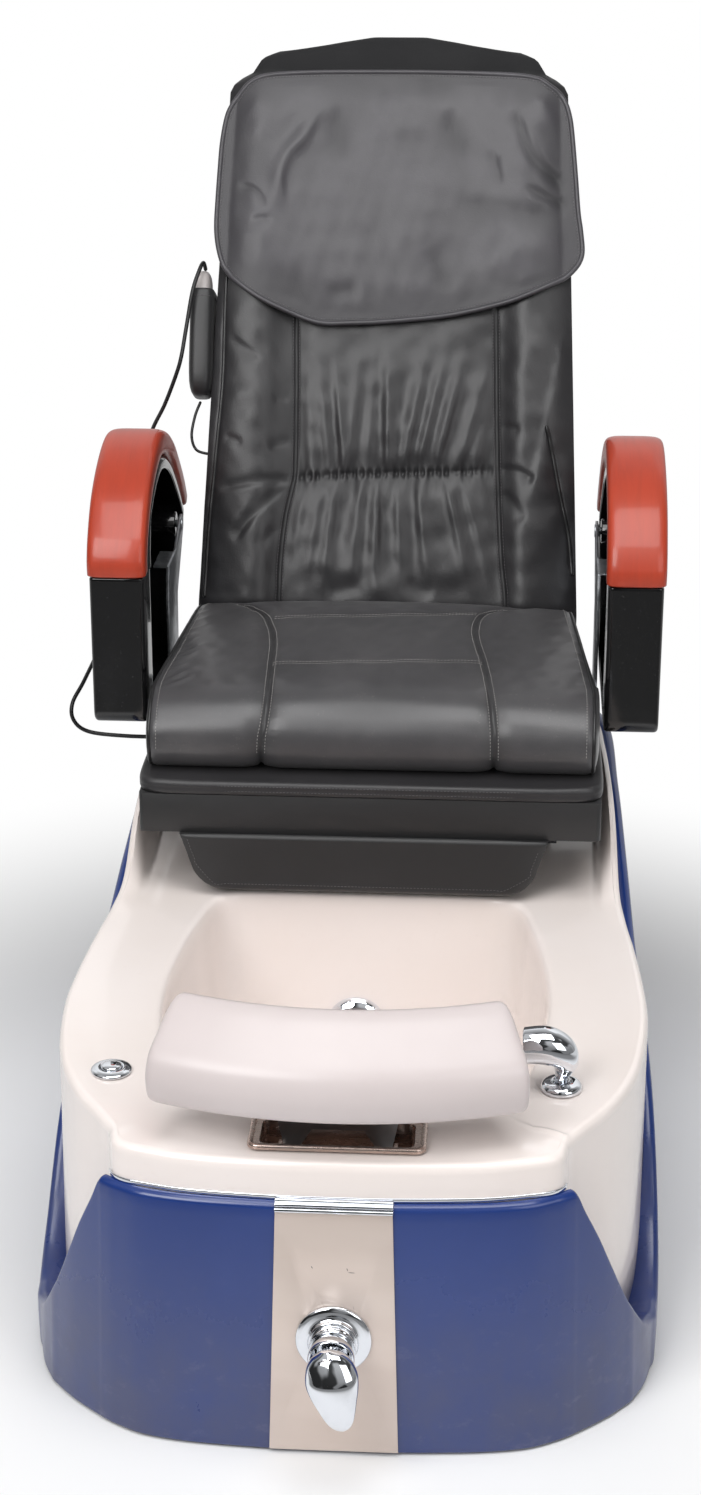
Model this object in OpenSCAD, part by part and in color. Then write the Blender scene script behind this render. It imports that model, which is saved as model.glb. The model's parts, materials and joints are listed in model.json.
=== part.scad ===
// Pedicure spa chair: a reclining massage seat that slides on the back of a foot basin.
// X runs across the chair, Y from the front of the basin to the back, and Z up from the floor.
// Every module is drawn with Y = 0 at the front of the basin; on_floor() centres the whole chair.

/* [Base] */
// Width of the base shell at its widest
base_w = 720; // [710:5:740]
// Length of the base shell, front to back
base_l = 1195; // [1180:5:1240]
// Height of the front apron
apron_h = 303; // [296:1:310]
// Lowest point of the notch at each front corner
notch_z = 70; // [66:1:100]
// Height of the base shell at the back
base_back_h = 452; // [436:2:460]
// Thickness of the base shell
shell_t = 6; // [4:0.5:7]
// Radius of the apron's top edge
shoulder_r = 8; // [6:0.5:9]

/* [Tub] */
// Height of the deck at the nose
deck_z = 346; // [340:1:352]
// Thickness of the moulding
tub_t = 7; // [6:0.5:8]
// Height of the basin's floor
basin_floor_z = 122; // [110:2:150]
// Height of the raised rim round the seat platform
rim_z = 456; // [440:2:466]

/* [Footrest] */
// Length of the footrest pad
footrest_l = 412; // [350:2:424]
// Height of the footrest's pivot
footrest_pivot_z = 326; // [322:1:330]
// Forward and backward tilt of the footrest, used by its joint
footrest_tilt = [-12, 30];

/* [Seat] */
// Width of the deck board under the cushion
deck_w = 590; // [570:2:592]
// Width of the seat cushion at its front
seat_w = 572; // [550:2:580]
// Height of the cushion's lower face
seat_z = 517; // [514:1:520]
// Thickness of the seat cushion
seat_t = 102; // [90:1:106]

/* [Back] */
// Lean of the backrest from upright
lean = 22; // [18:0.5:24]
// Length of the backrest
back_l = 822; // [780:2:830]
// Width of the backrest at the seat
back_w = 532; // [500:2:540]
// Thickness of the padded front of the backrest
pad_t = 74; // [60:1:80]

/* [Arms] */
// Distance between the arms
arm_gap = 592; // [590:1:600]
// Width of an arm
arm_w = 70; // [60:1:76]
// Thickness of an arm's top pad
arm_pad_t = 38; // [30:1:42]

/* [Fittings] */
// Diameter of the valve's wall plate
plate_d = 82; // [70:1:86]
// Diameter of the valve's sleeve
sleeve_d = 46; // [44:1:50]
// Diameter of the air button's bezel
button_d = 46; // [40:1:50]
// Diameter of the spray head's collar
collar_d = 46; // [42:1:50]
// Diameter of the jet's cover
jet_d = 78; // [70:1:84]

/* [Hidden] */
$fn = 48;

// The chair's middle, from the front of the basin
mid_y = 733;
seat_gap = 0.3;     // gap between pieces that rest on each other
run_gap = 0.05;     // radial gap of a pin in its bore
slide_gap = 0.6;    // gap round a slider

// ---------- curves and surfaces ----------

// Point between b and c on a smooth curve through a, b, c and d
function between(a, b, c, d, t) =
    (2*b + (c - a)*t + (2*a - 5*b + 4*c - d)*t*t + (3*b - a - 3*c + d)*t*t*t)/2;

// Smooth closed curve through points, with per steps from one to the next
function closed_curve(p, per) =
    let (n = len(p))
    [for (i = [0:n - 1], k = [0:per - 1])
        between(p[(i + n - 1)%n], p[i], p[(i + 1)%n], p[(i + 2)%n], k/per)];

// Smooth open curve through points
function open_curve(p, per) =
    let (n = len(p) - 1)
    [for (i = [0:n - 1], k = [0:per - 1])
        between(p[max(i - 1, 0)], p[i], p[i + 1], p[min(i + 2, n)], k/per), p[n]];

// A right half, from front middle to back middle, made whole by its mirror image
function mirrored(half) =
    concat(half, [for (i = [len(half) - 2:-1:1]) [-half[i].x, for (k = [1:len(half[i]) - 1]) half[i][k]]]);

// Direction out of a counterclockwise loop at point i
function outward(p, i) =
    let (n = len(p), a = p[(i + n - 1)%n], b = p[(i + 1)%n], d = [b.x - a.x, b.y - a.y])
    [d.y, -d.x]/norm(d);

// Loop moved out by d, at height z
function grown(p, d, z) =
    [for (i = [0:len(p) - 1]) let (q = [p[i].x, p[i].y] + d*outward(p, i)) [q.x, q.y, z]];

function flat(p) = [for (q = p) [q.x, q.y]];
function signed_power(v, e) = sign(v)*pow(abs(v), e);
function middle(ring) = [for (p = ring) 1/len(ring)]*ring;

// Six times the volume inside triangles f on points p, negative when they face OpenSCAD's way
function facing(p, f) = [for (t = f) 1]*[for (t = f) p[t[0]]*cross(p[t[1]], p[t[2]])];

// Solid whose surface runs through rings of as many points each. Its ends are closed flat, or it
// runs round on itself.
module skin(rings, round_trip = false) {
    n = len(rings);
    m = len(rings[0]);
    points = concat([for (r = rings, p = r) p], round_trip ? [] : [middle(rings[0]), middle(rings[n - 1])]);
    sides = [for (i = [0:n - (round_trip ? 1 : 2)], j = [0:m - 1])
        let (a = i*m + j, b = i*m + (j + 1)%m, c = ((i + 1)%n)*m + (j + 1)%m, d = ((i + 1)%n)*m + j)
        each [[a, b, c], [a, c, d]]];
    ends = round_trip ? [] : [for (j = [0:m - 1])
        let (k = (j + 1)%m)
        each [[n*m, k, j], [n*m + 1, (n - 1)*m + j, (n - 1)*m + k]]];
    faces = concat(sides, ends);
    polyhedron(points, facing(points, faces) > 0 ? [for (t = faces) [t[2], t[1], t[0]]] : faces);
}

// Ring of a tube: count points round centre c, square to direction d
function ring_round(c, d, r, count) =
    let (w = d/norm(d),
         side = abs(w.z) < 0.9 ? cross(w, [0, 0, 1]) : cross(w, [1, 0, 0]),
         u = side/norm(side),
         v = cross(w, u))
    [for (k = [0:count - 1]) c + r*cos(360*k/count)*u + r*sin(360*k/count)*v];

// Tube of radius r along a path
module tube(path, r, count = 10) {
    n = len(path) - 1;
    skin([for (i = [0:n]) ring_round(path[i], path[min(i + 1, n)] - path[max(i - 1, 0)], r, count)]);
}

// Box with round corners in plan, standing on z = 0
module rounded_box(w, l, h, r) {
    linear_extrude(h) rounded(w, l, r);
}

module rounded(w, l, r) {
    square([w - 2*r, l], center = true);
    square([w, l - 2*r], center = true);
    for (x = [-1, 1], y = [-1, 1]) translate([x*(w/2 - r), y*(l/2 - r)]) circle(r);
}

// Cylinders along X and Y
module along_x(r, l) rotate([0, 90, 0]) cylinder(r = r, h = l, center = true);
module along_y(r, l) rotate([-90, 0, 0]) cylinder(r = r, h = l);

// Outline in Y and Z, drawn out across X from x0 by w
module across(x0, w) {
    translate([x0, 0, 0]) rotate([90, 0, 90]) linear_extrude(w) children();
}

module on_floor() translate([0, -mid_y, 0]) children();
module both_sides() {
    children();
    mirror([1, 0, 0]) children();
}

// ---------- base shell ----------

// Right half of the shell in plan, with the height of its top edge
wide = base_w/720;
apron_y = 10;       // set-back of the apron's top edge from the chair's front
base_half = [
    [0, apron_y, apron_h], [66, apron_y + 1, apron_h], [152, 17, apron_h], [205*wide, 27, apron_h],
    [236*wide, 42, apron_h], [265*wide, 64, 0.86*apron_h + 0.14*notch_z],
    [294*wide, 90, 0.55*apron_h + 0.45*notch_z], [320*wide, 121, 0.26*apron_h + 0.74*notch_z],
    [340*wide, 160, notch_z + 6], [356*wide, 216, notch_z], [361*wide, 300, notch_z + 42],
    [357*wide, 400, notch_z + 142],
    [350*wide, 520, 275], [341*wide, 660, 315], [334*wide, 800, 366], [326*wide, 960, 415],
    [314*wide, base_l - 90, base_back_h], [262*wide, base_l - 10, base_back_h],
    [120, base_l, base_back_h], [0, base_l, base_back_h]
];
base_loop = closed_curve(mirrored(base_half), 3);
base_tuck = 12;     // how far the sides draw in at the floor
base_foot_z = 3;    // gap under the shell
lip_w = 2;          // flat of the top edge

// Point of the shell's wall, moved inward, at height z
function base_point(i, inward, z) =
    let (o = outward(base_loop, i),
         lean_out = apron_y*min(1, max(0, -1.8*o.y))*max(0, 1 - z/apron_h),
         rear = min(1, max(0, (base_loop[i].y - 170)/120)),
         tuck_in = base_tuck*rear*abs(o.x)*pow(1 - min(z, 60)/60, 2),
         q = flat(base_loop)[i] + (lean_out - tuck_in - inward)*o)
    [q.x, q.y, z];

function base_top(i) =
    let (p = base_loop[i]) p.y < 150 ? min(p.z, apron_h) : max(p.z, notch_z);

module base_shell() {
    color("#24408f") on_floor() difference() {
        skin([
        for (i = [0:len(base_loop) - 1])
            let (top = base_top(i), r = shoulder_r)
            [base_point(i, 0, base_foot_z), base_point(i, 0, 30), base_point(i, 0, 58),
             base_point(i, 0, top - r), base_point(i, 0.3*r, top - 0.3*r), base_point(i, r, top),
             base_point(i, r + lip_w, top), base_point(i, r + lip_w, top - 4),
             base_point(i, shell_t, top - r - 3), base_point(i, shell_t, 56),
             base_point(i, shell_t, 30), base_point(i, shell_t, base_foot_z)]
        ], true);
        on_apron() translate([0, -20, valve_z]) along_y(housing_r + 1, 60);
        // Slot for the actuator's rod, where the rear wall is as high as that
        translate([-30, base_l - 40, rod_z - 18]) cube([60, 80, 200]);
    }
}

// ---------- tub ----------

// Right half of the tub in plan, with the height of its edge and of the foot of its wall
nose_foot_z = apron_h - 20;
wall_foot_z = 58;
tub_back = base_l - 19;
tub_half = [
    [0, 21, deck_z, nose_foot_z], [65, 22, deck_z, nose_foot_z], [154, 29, deck_z, nose_foot_z],
    [210, 43, deck_z + 1, nose_foot_z], [234, 58, deck_z + 1, nose_foot_z],
    [247, 81, deck_z + 2, nose_foot_z], [263, 110, deck_z + 3, 190], [300, 170, deck_z + 5, wall_foot_z],
    [328, 250, deck_z + 7, wall_foot_z], [342, 360, deck_z + 9, wall_foot_z],
    [341, 450, deck_z + 11, wall_foot_z], [334, 550, deck_z + 13, wall_foot_z],
    [326, 630, deck_z + 15, wall_foot_z], [320, 700, deck_z + 28, 120], [316, 780, rim_z - 26, 180],
    [313, 860, rim_z - 4, 240], [308, 1000, rim_z, 260], [298, tub_back - 70, rim_z, 260],
    [252, tub_back - 10, rim_z, 260], [120, tub_back, rim_z, 260], [0, tub_back, rim_z, 260]
];
// Right half of the basin's mouth, point for point
basin_half = [
    [0, 150], [50, 150], [95, 151], [125, 153], [148, 158], [163, 168], [176, 182], [196, 212],
    [212, 280], [222, 350], [225, 410], [222, 470], [214, 540], [205, 590], [197, 630], [186, 655],
    [170, 668], [150, 672], [120, 673], [60, 674], [0, 674]
];
tub_loop = closed_curve(mirrored(tub_half), 2);
basin_loop = closed_curve(mirrored(basin_half), 2);
basin_mid = [0, 412];
// The basin's wall, from its floor up, as shares of its mouth and of its depth
basin_wall = [[0.62, 0], [0.82, 0.008], [0.905, 0.035], [0.93, 0.09], [1, 0.96]];
inner_slope_w = 40; // foot of the raised rim's inner slope, from the tub's edge

// Height of the deck at a point of the tub's edge
function deck_at(i) = deck_z + min(16, 0.024*tub_loop[i].y);
function basin_ring(share, depth, out, drop) =
    [for (i = [0:len(basin_loop) - 1])
        let (q = basin_mid + share*(basin_loop[i] - basin_mid) + out*outward(basin_loop, i))
        [q.x, q.y, basin_floor_z + depth*(deck_at(i) - basin_floor_z) - drop]];
function rim_ring(out, drop) =
    [for (i = [0:len(basin_loop) - 1])
        let (q = basin_loop[i] + out*outward(basin_loop, i)) [q.x, q.y, deck_at(i) - drop]];
// Ring of the deck, inward of the tub's edge, rise being a share of the way up to the edge
function deck_ring(inward, rise, drop) =
    [for (i = [0:len(tub_loop) - 1])
        let (e = [tub_loop[i].x, tub_loop[i].y],
             d = basin_loop[i] - e,
             q = e + inward*d/norm(d))
        [q.x, q.y, deck_at(i) + rise*(tub_loop[i].z - deck_at(i)) - drop]];
function edge_ring(inward, drop) =
    [for (i = [0:len(tub_loop) - 1])
        let (q = [tub_loop[i].x, tub_loop[i].y] - inward*outward(tub_loop, i))
        [q.x, q.y, tub_loop[i].z - drop]];
function foot_ring(inward) =
    [for (i = [0:len(tub_loop) - 1])
        let (q = [tub_loop[i].x, tub_loop[i].y] - inward*outward(tub_loop, i)) [q.x, q.y, tub_loop[i][3]]];

// Where the fittings sit on the deck
well_y = 79;
well_w = 190;
well_l = 74;
tray_w = 168;
tray_l = 54;
tray_h = 46;
tray_t = 1.5;
fitting_gap = 0.8;  // rise of a level fitting over the middle of its sloping patch of deck
button_at = [-262, 204, deck_z + 4.9 + fitting_gap];
collar_at = [239, 194, deck_z + 4.7 + fitting_gap];
platform_z = deck_z + 16;
jet_x = -15;        // jet in the basin's back wall
jet_z = 184;
drain_y = 380;
drain_d = 44;
shank_r = 13;       // threaded shank of a deck fitting

// Frame of the jet: on the basin's back wall, with -Y out of the wall
wall_run = (basin_wall[4][0] - basin_wall[3][0])*(674 - basin_mid.y);
wall_rise = (basin_wall[4][1] - basin_wall[3][1])*(platform_z - basin_floor_z);
jet_lean = atan(wall_run/wall_rise);
jet_y = basin_mid.y + basin_wall[3][0]*(674 - basin_mid.y) + wall_run/wall_rise
    *(jet_z - basin_floor_z - basin_wall[3][1]*(platform_z - basin_floor_z));
module on_jet() translate([jet_x, jet_y, jet_z]) rotate([-jet_lean, 0, 0]) children();

module tub() {
    color("#f3ecea") on_floor() difference() {
        skin([
            for (w = basin_wall) basin_ring(w[0], w[1], 0, 0),
            rim_ring(3, 3), rim_ring(10, 0),
            deck_ring(inner_slope_w, 0, 0), deck_ring(24, 0.55, 0), edge_ring(9, 0), edge_ring(2.5, 2.5),
            edge_ring(0, 9), foot_ring(0), foot_ring(tub_t), edge_ring(tub_t, 15),
            deck_ring(inner_slope_w - 4, 0, tub_t + 1), rim_ring(12, tub_t + 1),
            for (k = [len(basin_wall) - 1:-1:0])
                basin_ring(basin_wall[k][0], basin_wall[k][1], tub_t, k < 2 ? tub_t : 0)
        ]);
        translate([0, well_y, deck_z - 40]) rounded_box(tray_w + 1, tray_l + 1, 80, 10);
        translate(button_at - [0, 0, 30]) cylinder(r = shank_r + 0.5, h = 60);
        translate(collar_at - [0, 0, 30]) cylinder(r = shank_r + 0.5, h = 60);
        on_jet() translate([0, -30, 0]) along_y(12, 60);
        translate([0, drain_y, basin_floor_z - 30]) cylinder(r = 16, h = 60);
    }
}

// ---------- front panel and valve ----------

apron_lean = atan(apron_y/apron_h);
panel_w_top = 124;
panel_w_foot = 140;
panel_t = 1.5;
panel_gap = 1.6;    // room behind the flat panel for the apron's curve
valve_z = 144;

// Frame of the apron's leaning front: -Y points out of it
module on_apron() rotate([-apron_lean, 0, 0]) children();

module front_panel() {
    color("#cfc4bc") on_floor() on_apron() difference() {
        translate([0, -0.3, 0]) rotate([90, 0, 0]) linear_extrude(panel_t) polygon([
            [-panel_w_foot/2, 5], [panel_w_foot/2, 5],
            [panel_w_top/2, apron_h - shoulder_r], [-panel_w_top/2, apron_h - shoulder_r]
        ]);
        translate([0, -10, valve_z]) along_y(sleeve_d/2 - 3, 20);
    }
}

module panel_cap() {
    cap_r = shoulder_r + 0.4;
    color("#dfe3e8") on_floor() translate([0, apron_y + shoulder_r, apron_h - shoulder_r]) {
        intersection() {
            difference() {
                along_x(cap_r + 1.6, panel_w_top);
                along_x(cap_r, panel_w_top + 2);
            }
            translate([-panel_w_top/2, -2*cap_r, 0]) cube([panel_w_top, 2*cap_r, 2*cap_r]);
        }
        for (a = [12, 45, 78])
            translate([0, -(cap_r + 1.6)*cos(a), (cap_r + 1.6)*sin(a)]) along_x(1.8, panel_w_top);
    }
}

module nose_trim() {
    front = [for (i = [0:len(tub_loop) - 1]) if (tub_loop[i].y < 66) i];
    right = [for (i = front) if (tub_loop[i].x >= 0) i];
    left = [for (i = front) if (tub_loop[i].x < 0) i];
    order = concat(left, right);
    function shifted(i, d) = [tub_loop[i].x, tub_loop[i].y] + d*outward(tub_loop, i);
    color("#dfe3e8") on_floor() translate([0, 0, apron_h + 0.3]) linear_extrude(5) polygon(concat(
        [for (i = order) shifted(i, 2.3)],
        [for (k = [len(order) - 1:-1:0]) shifted(order[k], 0.3)]
    ));
}

plate_h = 11;
housing_r = 16;     // neck of the valve's body, through the apron
module valve_escutcheon() {
    r = plate_d/2;
    color("#dfe3e8") on_floor() on_apron() translate([0, -0.3 - panel_t - 0.1, valve_z]) rotate([90, 0, 0])
        rotate_extrude() polygon([
            [housing_r + 0.3, 0], [r, 0], [r, 2], [r - 1, 3.6], [r - 3, 5], [sleeve_d/2 + 4.5, 6.6],
            [sleeve_d/2 + 4, plate_h - 2], [sleeve_d/2 + 2, plate_h], [housing_r + 0.3, plate_h]
        ]);
}

lever_y = -57;      // pivot of the lever, in front of the apron
cup_r = 21.6;       // mouth of the sleeve
lever_pin_r = 3;
lever_turn = -13;   // the lever rests turned to the right
module valve_sleeve() {
    r = sleeve_d/2;
    base = -0.3 - panel_t - 0.1 - plate_h;
    color("#dfe3e8") on_floor() on_apron() translate([0, base - 0.1, valve_z]) rotate([90, 0, 0])
        rotate_extrude() polygon([
            [r - 5, 0], [r, 0], [r, 8], [r - 1.2, 9], [r - 1.2, 11], [r, 12], [r, 30], [r - 1, 32],
            [cup_r, 33], [cup_r, 24], [r - 5, 18]
        ]);
}

stem_r = 5;
module valve_body() {
    color("#b9965a") on_floor() on_apron() {
        difference() {
            union() {
                translate([0, 24, valve_z]) along_y(27, 60);
                translate([0, -29, valve_z]) along_y(housing_r, 54);
                for (s = [-1, 1]) translate([s*44, 54, valve_z]) along_x(9, 44);
                translate([0, 54, valve_z]) cylinder(r = 9, h = 50);
            }
            translate([0, -30, valve_z]) along_y(stem_r + run_gap, 60);
        }
    }
}

module valve_stem() {
    color("#c9a868") on_floor() on_apron() {
        translate([0, lever_y - 5, valve_z]) along_y(stem_r, 75);
        translate([0, lever_y, valve_z]) rotate([0, lever_turn, 0]) along_x(lever_pin_r, 32);
    }
}

// Sections of the lever from its round top down to its tip: depth behind the pivot, height, half
// width and half depth
lever_shape = [
    [2, 20, 5, 4], [1, 15, 16, 11], [-1, 7, 23.5, 15], [-4, -3, 27.5, 17.5], [-8, -12, 28.5, 17],
    [-12, -24, 26, 14], [-15, -35, 22, 11], [-17, -46, 18, 8.5], [-17, -56, 14, 7], [-15, -64, 9, 5],
    [-14, -68, 3, 2]
];
module valve_lever() {
    color("#dfe3e8") on_floor() on_apron() translate([0, lever_y, valve_z]) rotate([0, lever_turn, 0])
        difference() {
            skin([for (p = open_curve(lever_shape, 2))
                [for (k = [0:17]) [p[2]*cos(20*k), p.x + p[3]*sin(20*k), p.y]]]);
            along_x(lever_pin_r + run_gap, 70);
            translate([-stem_r - slide_gap, -8, -12]) cube([2*(stem_r + slide_gap), 40, 24]);
        }
}

// ---------- deck fittings ----------

// Rod of radius r bent round a rectangle
module bead(w, l, corner, r) {
    for (s = [-1, 1]) {
        translate([0, s*l/2, 0]) along_x(r, w - 2*corner);
        translate([s*w/2, -(l/2 - corner), 0]) along_y(r, l - 2*corner);
    }
    for (a = [0:90:270])
        rotate([0, 0, a]) translate([(a%180 == 0 ? w : l)/2 - corner, (a%180 == 0 ? l : w)/2 - corner, 0])
            rotate_extrude(angle = 90) translate([corner, 0]) circle(r);
}

pin_r = 5;
lug_x = 62;
module footrest_well() {
    top = deck_z + 3.3;
    color("#c8ccd0") on_floor() translate([0, well_y, top]) {
        difference() {
            union() {
                translate([0, 0, -tray_h]) rounded_box(tray_w, tray_l, tray_h + tray_t, 9);
                rounded_box(well_w, well_l, tray_t, 12);
            }
            translate([0, 0, -tray_h + tray_t]) rounded_box(tray_w - 2*tray_t, tray_l - 2*tray_t, 80, 7.5);
        }
        translate([0, 0, 2.4]) bead(well_w - 6, well_l - 6, 9, 3);
        for (s = [-1, 1]) difference() {
            translate([s*lug_x - 2, -10, tray_t/2 - tray_h])
                cube([4, 20, footrest_pivot_z - top + tray_h + 9]);
            translate([s*lug_x, 0, footrest_pivot_z - top]) along_x(pin_r + run_gap, 20);
        }
    }
}

module footrest_pin() {
    color("#aeb2b6") on_floor() translate([0, well_y, footrest_pivot_z]) {
        along_x(pin_r, 2*lug_x + 4);
        for (s = [-1, 1]) translate([s*(lug_x + 4.6), 0, 0]) along_x(8, 5);
    }
}

pad_z = 396;        // lowest part of the footrest pad
bracket_t = 4;
module footrest_bracket() {
    color("#b4b8bc") on_floor() translate([0, well_y, footrest_pivot_z]) {
        difference() {
            union() {
                for (s = [-1, 1]) translate([s*48, 0, 0]) along_x(9, 20);
                translate([0, bracket_t/2, 0]) rotate([90, 0, 0]) linear_extrude(bracket_t) difference() {
                    polygon([[-56, 0], [56, 0], [70, pad_z - footrest_pivot_z - 3.3],
                        [-70, pad_z - footrest_pivot_z - 3.3]]);
                    polygon([[-39, -1], [39, -1], [39, 12], [28, 30], [-28, 30], [-39, 12]]);
                }
                translate([-90, -20, pad_z - footrest_pivot_z - 3.3]) cube([180, 50, 3]);
            }
            along_x(pin_r + run_gap, 200);
        }
    }
}

// Section of the footrest pad: distance behind its front edge, and height
pad_section = [
    [4, -2], [0, 18], [7, 42], [30, 66], [60, 88], [78, 92], [88, 82], [88, 50], [82, 14], [70, 0],
    [40, 0], [15, -4]
];
pad_front_y = 18;
pad_sagitta = 40;   // how far the pad's ends lie behind its middle
module footrest_pad() {
    r = (pow(footrest_l/2, 2) + pow(pad_sagitta, 2))/(2*pad_sagitta);
    reach = asin(footrest_l/2/r);
    section = closed_curve(pad_section, 2);
    centre = middle(section);
    // Stations along the pad: share of the reach, and size of the section there
    stations = [[-1, 0.62], [-0.995, 0.8], [-0.975, 0.92], [-0.94, 0.98], for (k = [-8:8]) [k*0.11, 1],
        [0.94, 0.98], [0.975, 0.92], [0.995, 0.8], [1, 0.62]];
    color("#f3eeed") on_floor() translate([0, pad_front_y + r, pad_z]) skin([
        for (s = stations) [for (p = section)
            let (q = centre + s[1]*(p - centre), a = s[0]*reach)
            [(r - q.x)*sin(a), -(r - q.x)*cos(a), q.y + 0.9]]
    ]);
}

nut_z = -tub_t - 1 - fitting_gap - 2.4 - 5;
module air_button_bezel() {
    r = button_d/2;
    color("#dfe3e8") on_floor() translate(button_at) {
        rotate_extrude() polygon([[12.2, 0], [r, 0], [r, 1.5], [r - 2, 3.2], [14.5, 4.6], [12.2, 4]]);
        difference() {
            translate([0, 0, -42]) cylinder(r = shank_r, h = 42);
            translate([0, 0, -36]) cylinder(r = 12.2, h = 60);
        }
        translate([0, 0, nut_z]) rotate_extrude() translate([shank_r - 1, 0]) square([8, 5]);
    }
}

module air_button() {
    color("#c9ccd0") on_floor() translate(button_at) {
        translate([0, 0, -1]) rotate_extrude() polygon([[0, 0], [11.8, 0], [11.8, 6.4], [9.5, 8], [0, 7.5]]);
        translate([0, 0, -20]) cylinder(r = 6, h = 20);
    }
}

hose_r = 6.5;
collar_h = 9;
module spray_collar() {
    r = collar_d/2;
    color("#dfe3e8") on_floor() translate(collar_at) difference() {
        union() {
            rotate_extrude() polygon([
                [0, 0], [r, 0], [r, 1.5], for (a = [10:20:90]) [r - 8 + 8*cos(a), 1.5 + 7*sin(a)],
                [12.5, collar_h], [0, collar_h]
            ]);
            translate([0, 0, -40]) cylinder(r = shank_r, h = 41);
            translate([0, 0, nut_z]) cylinder(r = 20, h = 5);
        }
        translate([0, 0, -50]) cylinder(r = hose_r + 1, h = 80);
        translate([0, 0, collar_h - 5]) cylinder(r1 = hose_r + 1, r2 = hose_r + 4, h = 5.1);
    }
}

// The spray head, from its tail in the collar to its round face
spray_path = [[0, 0, -4], [0, 0, 5], [2, 0, 13], [3, 0, 24], [-4, 0, 35], [-19, 1, 41], [-40, 3, 39]];
spray_r = [6.4, 7.6, 11, 16, 20, 21.5, 20.5];
module spray_head() {
    path = open_curve(spray_path, 2);
    size = open_curve([for (r = spray_r) [r]], 2);
    n = len(path) - 1;
    color("#dfe3e8") on_floor() translate(collar_at + [0, 0, 10.5])
        skin([for (i = [0:n])
            ring_round(path[i], path[min(i + 1, n)] - path[max(i - 1, 0)], size[i][0], 20)]);
}

module spray_hose() {
    color("#b9bdc2") on_floor() translate(collar_at - [0, 0, 214]) cylinder(r = hose_r, h = 220);
}

// ---------- jet and drain ----------

module jet_cover() {
    r = jet_d/2;
    color("#dfe3e8") on_floor() on_jet() translate([0, -0.5, 0]) rotate([90, 0, 0]) difference() {
        rotate_extrude() polygon([
            [26, 0], [r, 0], [r, 3], for (a = [20:20:80]) [r*cos(a), 3 + 14*sin(a)], [0, 17], [0, 14.5],
            for (a = [80:-20:20]) [(r - 6)*cos(a), 2 + 12.5*sin(a)], [26, 2]
        ]);
        for (k = [0:9]) rotate([0, 0, 36*k]) translate([11, -2, 6]) cube([16, 4, 20]);
    }
}

shaft_r = 3;
module jet_impeller() {
    color("#3a3d42") on_floor() on_jet() translate([0, -2.5, 0]) rotate([90, 0, 0]) difference() {
        union() {
            cylinder(r = 21, h = 1.6);
            cylinder(r = 6, h = 8);
            for (k = [0:5]) rotate([0, 0, 60*k]) translate([5, -0.8, 0]) cube([15, 1.6, 6]);
        }
        translate([0, 0, -1]) cylinder(r = shaft_r + run_gap, h = 20);
    }
}

module jet_pump() {
    color("#44474c") on_floor() on_jet() {
        translate([0, -10, 0]) along_y(shaft_r, 30);
        translate([0, tub_t + 0.4, 0]) along_y(46, 24);
        translate([0, 30, 0]) along_y(33, 74);
        translate([0, 102, 0]) along_y(36, 8);
        translate([-30, 36, -48]) cube([60, 60, 22]);
    }
}

module drain_strainer() {
    color("#dfe3e8") on_floor() translate([0, drain_y, basin_floor_z + 0.2]) difference() {
        union() {
            cylinder(r = drain_d/2, h = 2.5);
            translate([0, 0, -26]) cylinder(r = 14, h = 27);
        }
        translate([0, 0, -30]) cylinder(r = 11, h = 29);
        for (k = [0:5]) rotate([0, 0, 60*k]) translate([9, 0, -30]) cylinder(r = 2.4, h = 60);
    }
}

module drain_pipe() {
    color("#e8e8e4") on_floor() translate([0, drain_y, 0]) {
        translate([0, 0, basin_floor_z - 60]) cylinder(r = 19, h = 33.9);
        translate([0, 0, 45]) cylinder(r = 17, h = 20);
        translate([0, 0, 45]) along_y(17, tub_back - drain_y - 10);
    }
}

// ---------- frame, feet, rails and services ----------

frame_x = 245;
frame_y = [150, 560, 1110];
frame_z = 22;
frame_h = 30;
stem_h = frame_z;
module base_frame() {
    color("#33363a") on_floor() {
        for (s = [-1, 1]) translate([s*frame_x - 15, frame_y[0], frame_z])
            cube([30, frame_y[2] - frame_y[0], frame_h]);
        translate([-frame_x + 14, frame_y[0] + 20, frame_z]) cube([2*frame_x - 28, 30, frame_h]);
        for (y = [720, frame_y[2] - 30]) difference() {
            translate([-frame_x + 14, y, frame_z]) cube([2*frame_x - 28, 30, frame_h]);
            translate([0, y - 5, 45]) along_y(19, 40);
        }
        // Posts under the deck, clear of the basin
        for (s = [-1, 1], y = [740, 1060]) translate([s*frame_x - 15, y, frame_z + frame_h - 1])
            cube([30, 30, platform_z - tub_t - 1 - seat_gap - frame_z - frame_h + 1]);
        // Stays that hold the shell's front and back
        for (s = [-1, 1]) {
            translate([s*100 - 12, 11.5, frame_z]) cube([24, frame_y[0] + 30 - 11.5, 20]);
            translate([s*60 - 30, frame_y[2] - 5, frame_z])
                cube([60, base_l - shell_t - seat_gap - frame_y[2] + 5, 20]);
        }
    }
}

module levelling_feet() {
    color("#2b2d30") on_floor() for (s = [-1, 1], y = [frame_y[0] + 20, frame_y[1], frame_y[2] - 20])
        translate([s*frame_x, y, 0]) {
            cylinder(r = 20, h = 8);
            cylinder(r = 6, h = stem_h - 0.1);
        }
}

rail_x = 150;
rail_y = [728, 1130];
rail_z = platform_z + seat_gap;
rail_w = 44;
rail_h = 24;
rail_t = 3;
slot_w = 14;
module seat_rails() {
    color("#8d9196") on_floor() both_sides() translate([rail_x, rail_y[0], rail_z]) rotate([90, 0, 180])
        mirror([0, 0, 0]) linear_extrude(rail_y[1] - rail_y[0]) difference() {
            translate([-rail_w/2, 0]) square([rail_w, rail_h]);
            translate([-rail_w/2 + rail_t, rail_t]) square([rail_w - 2*rail_t, rail_h - 2*rail_t]);
            translate([-slot_w/2, rail_t]) square([slot_w, rail_h]);
        }
}

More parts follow.
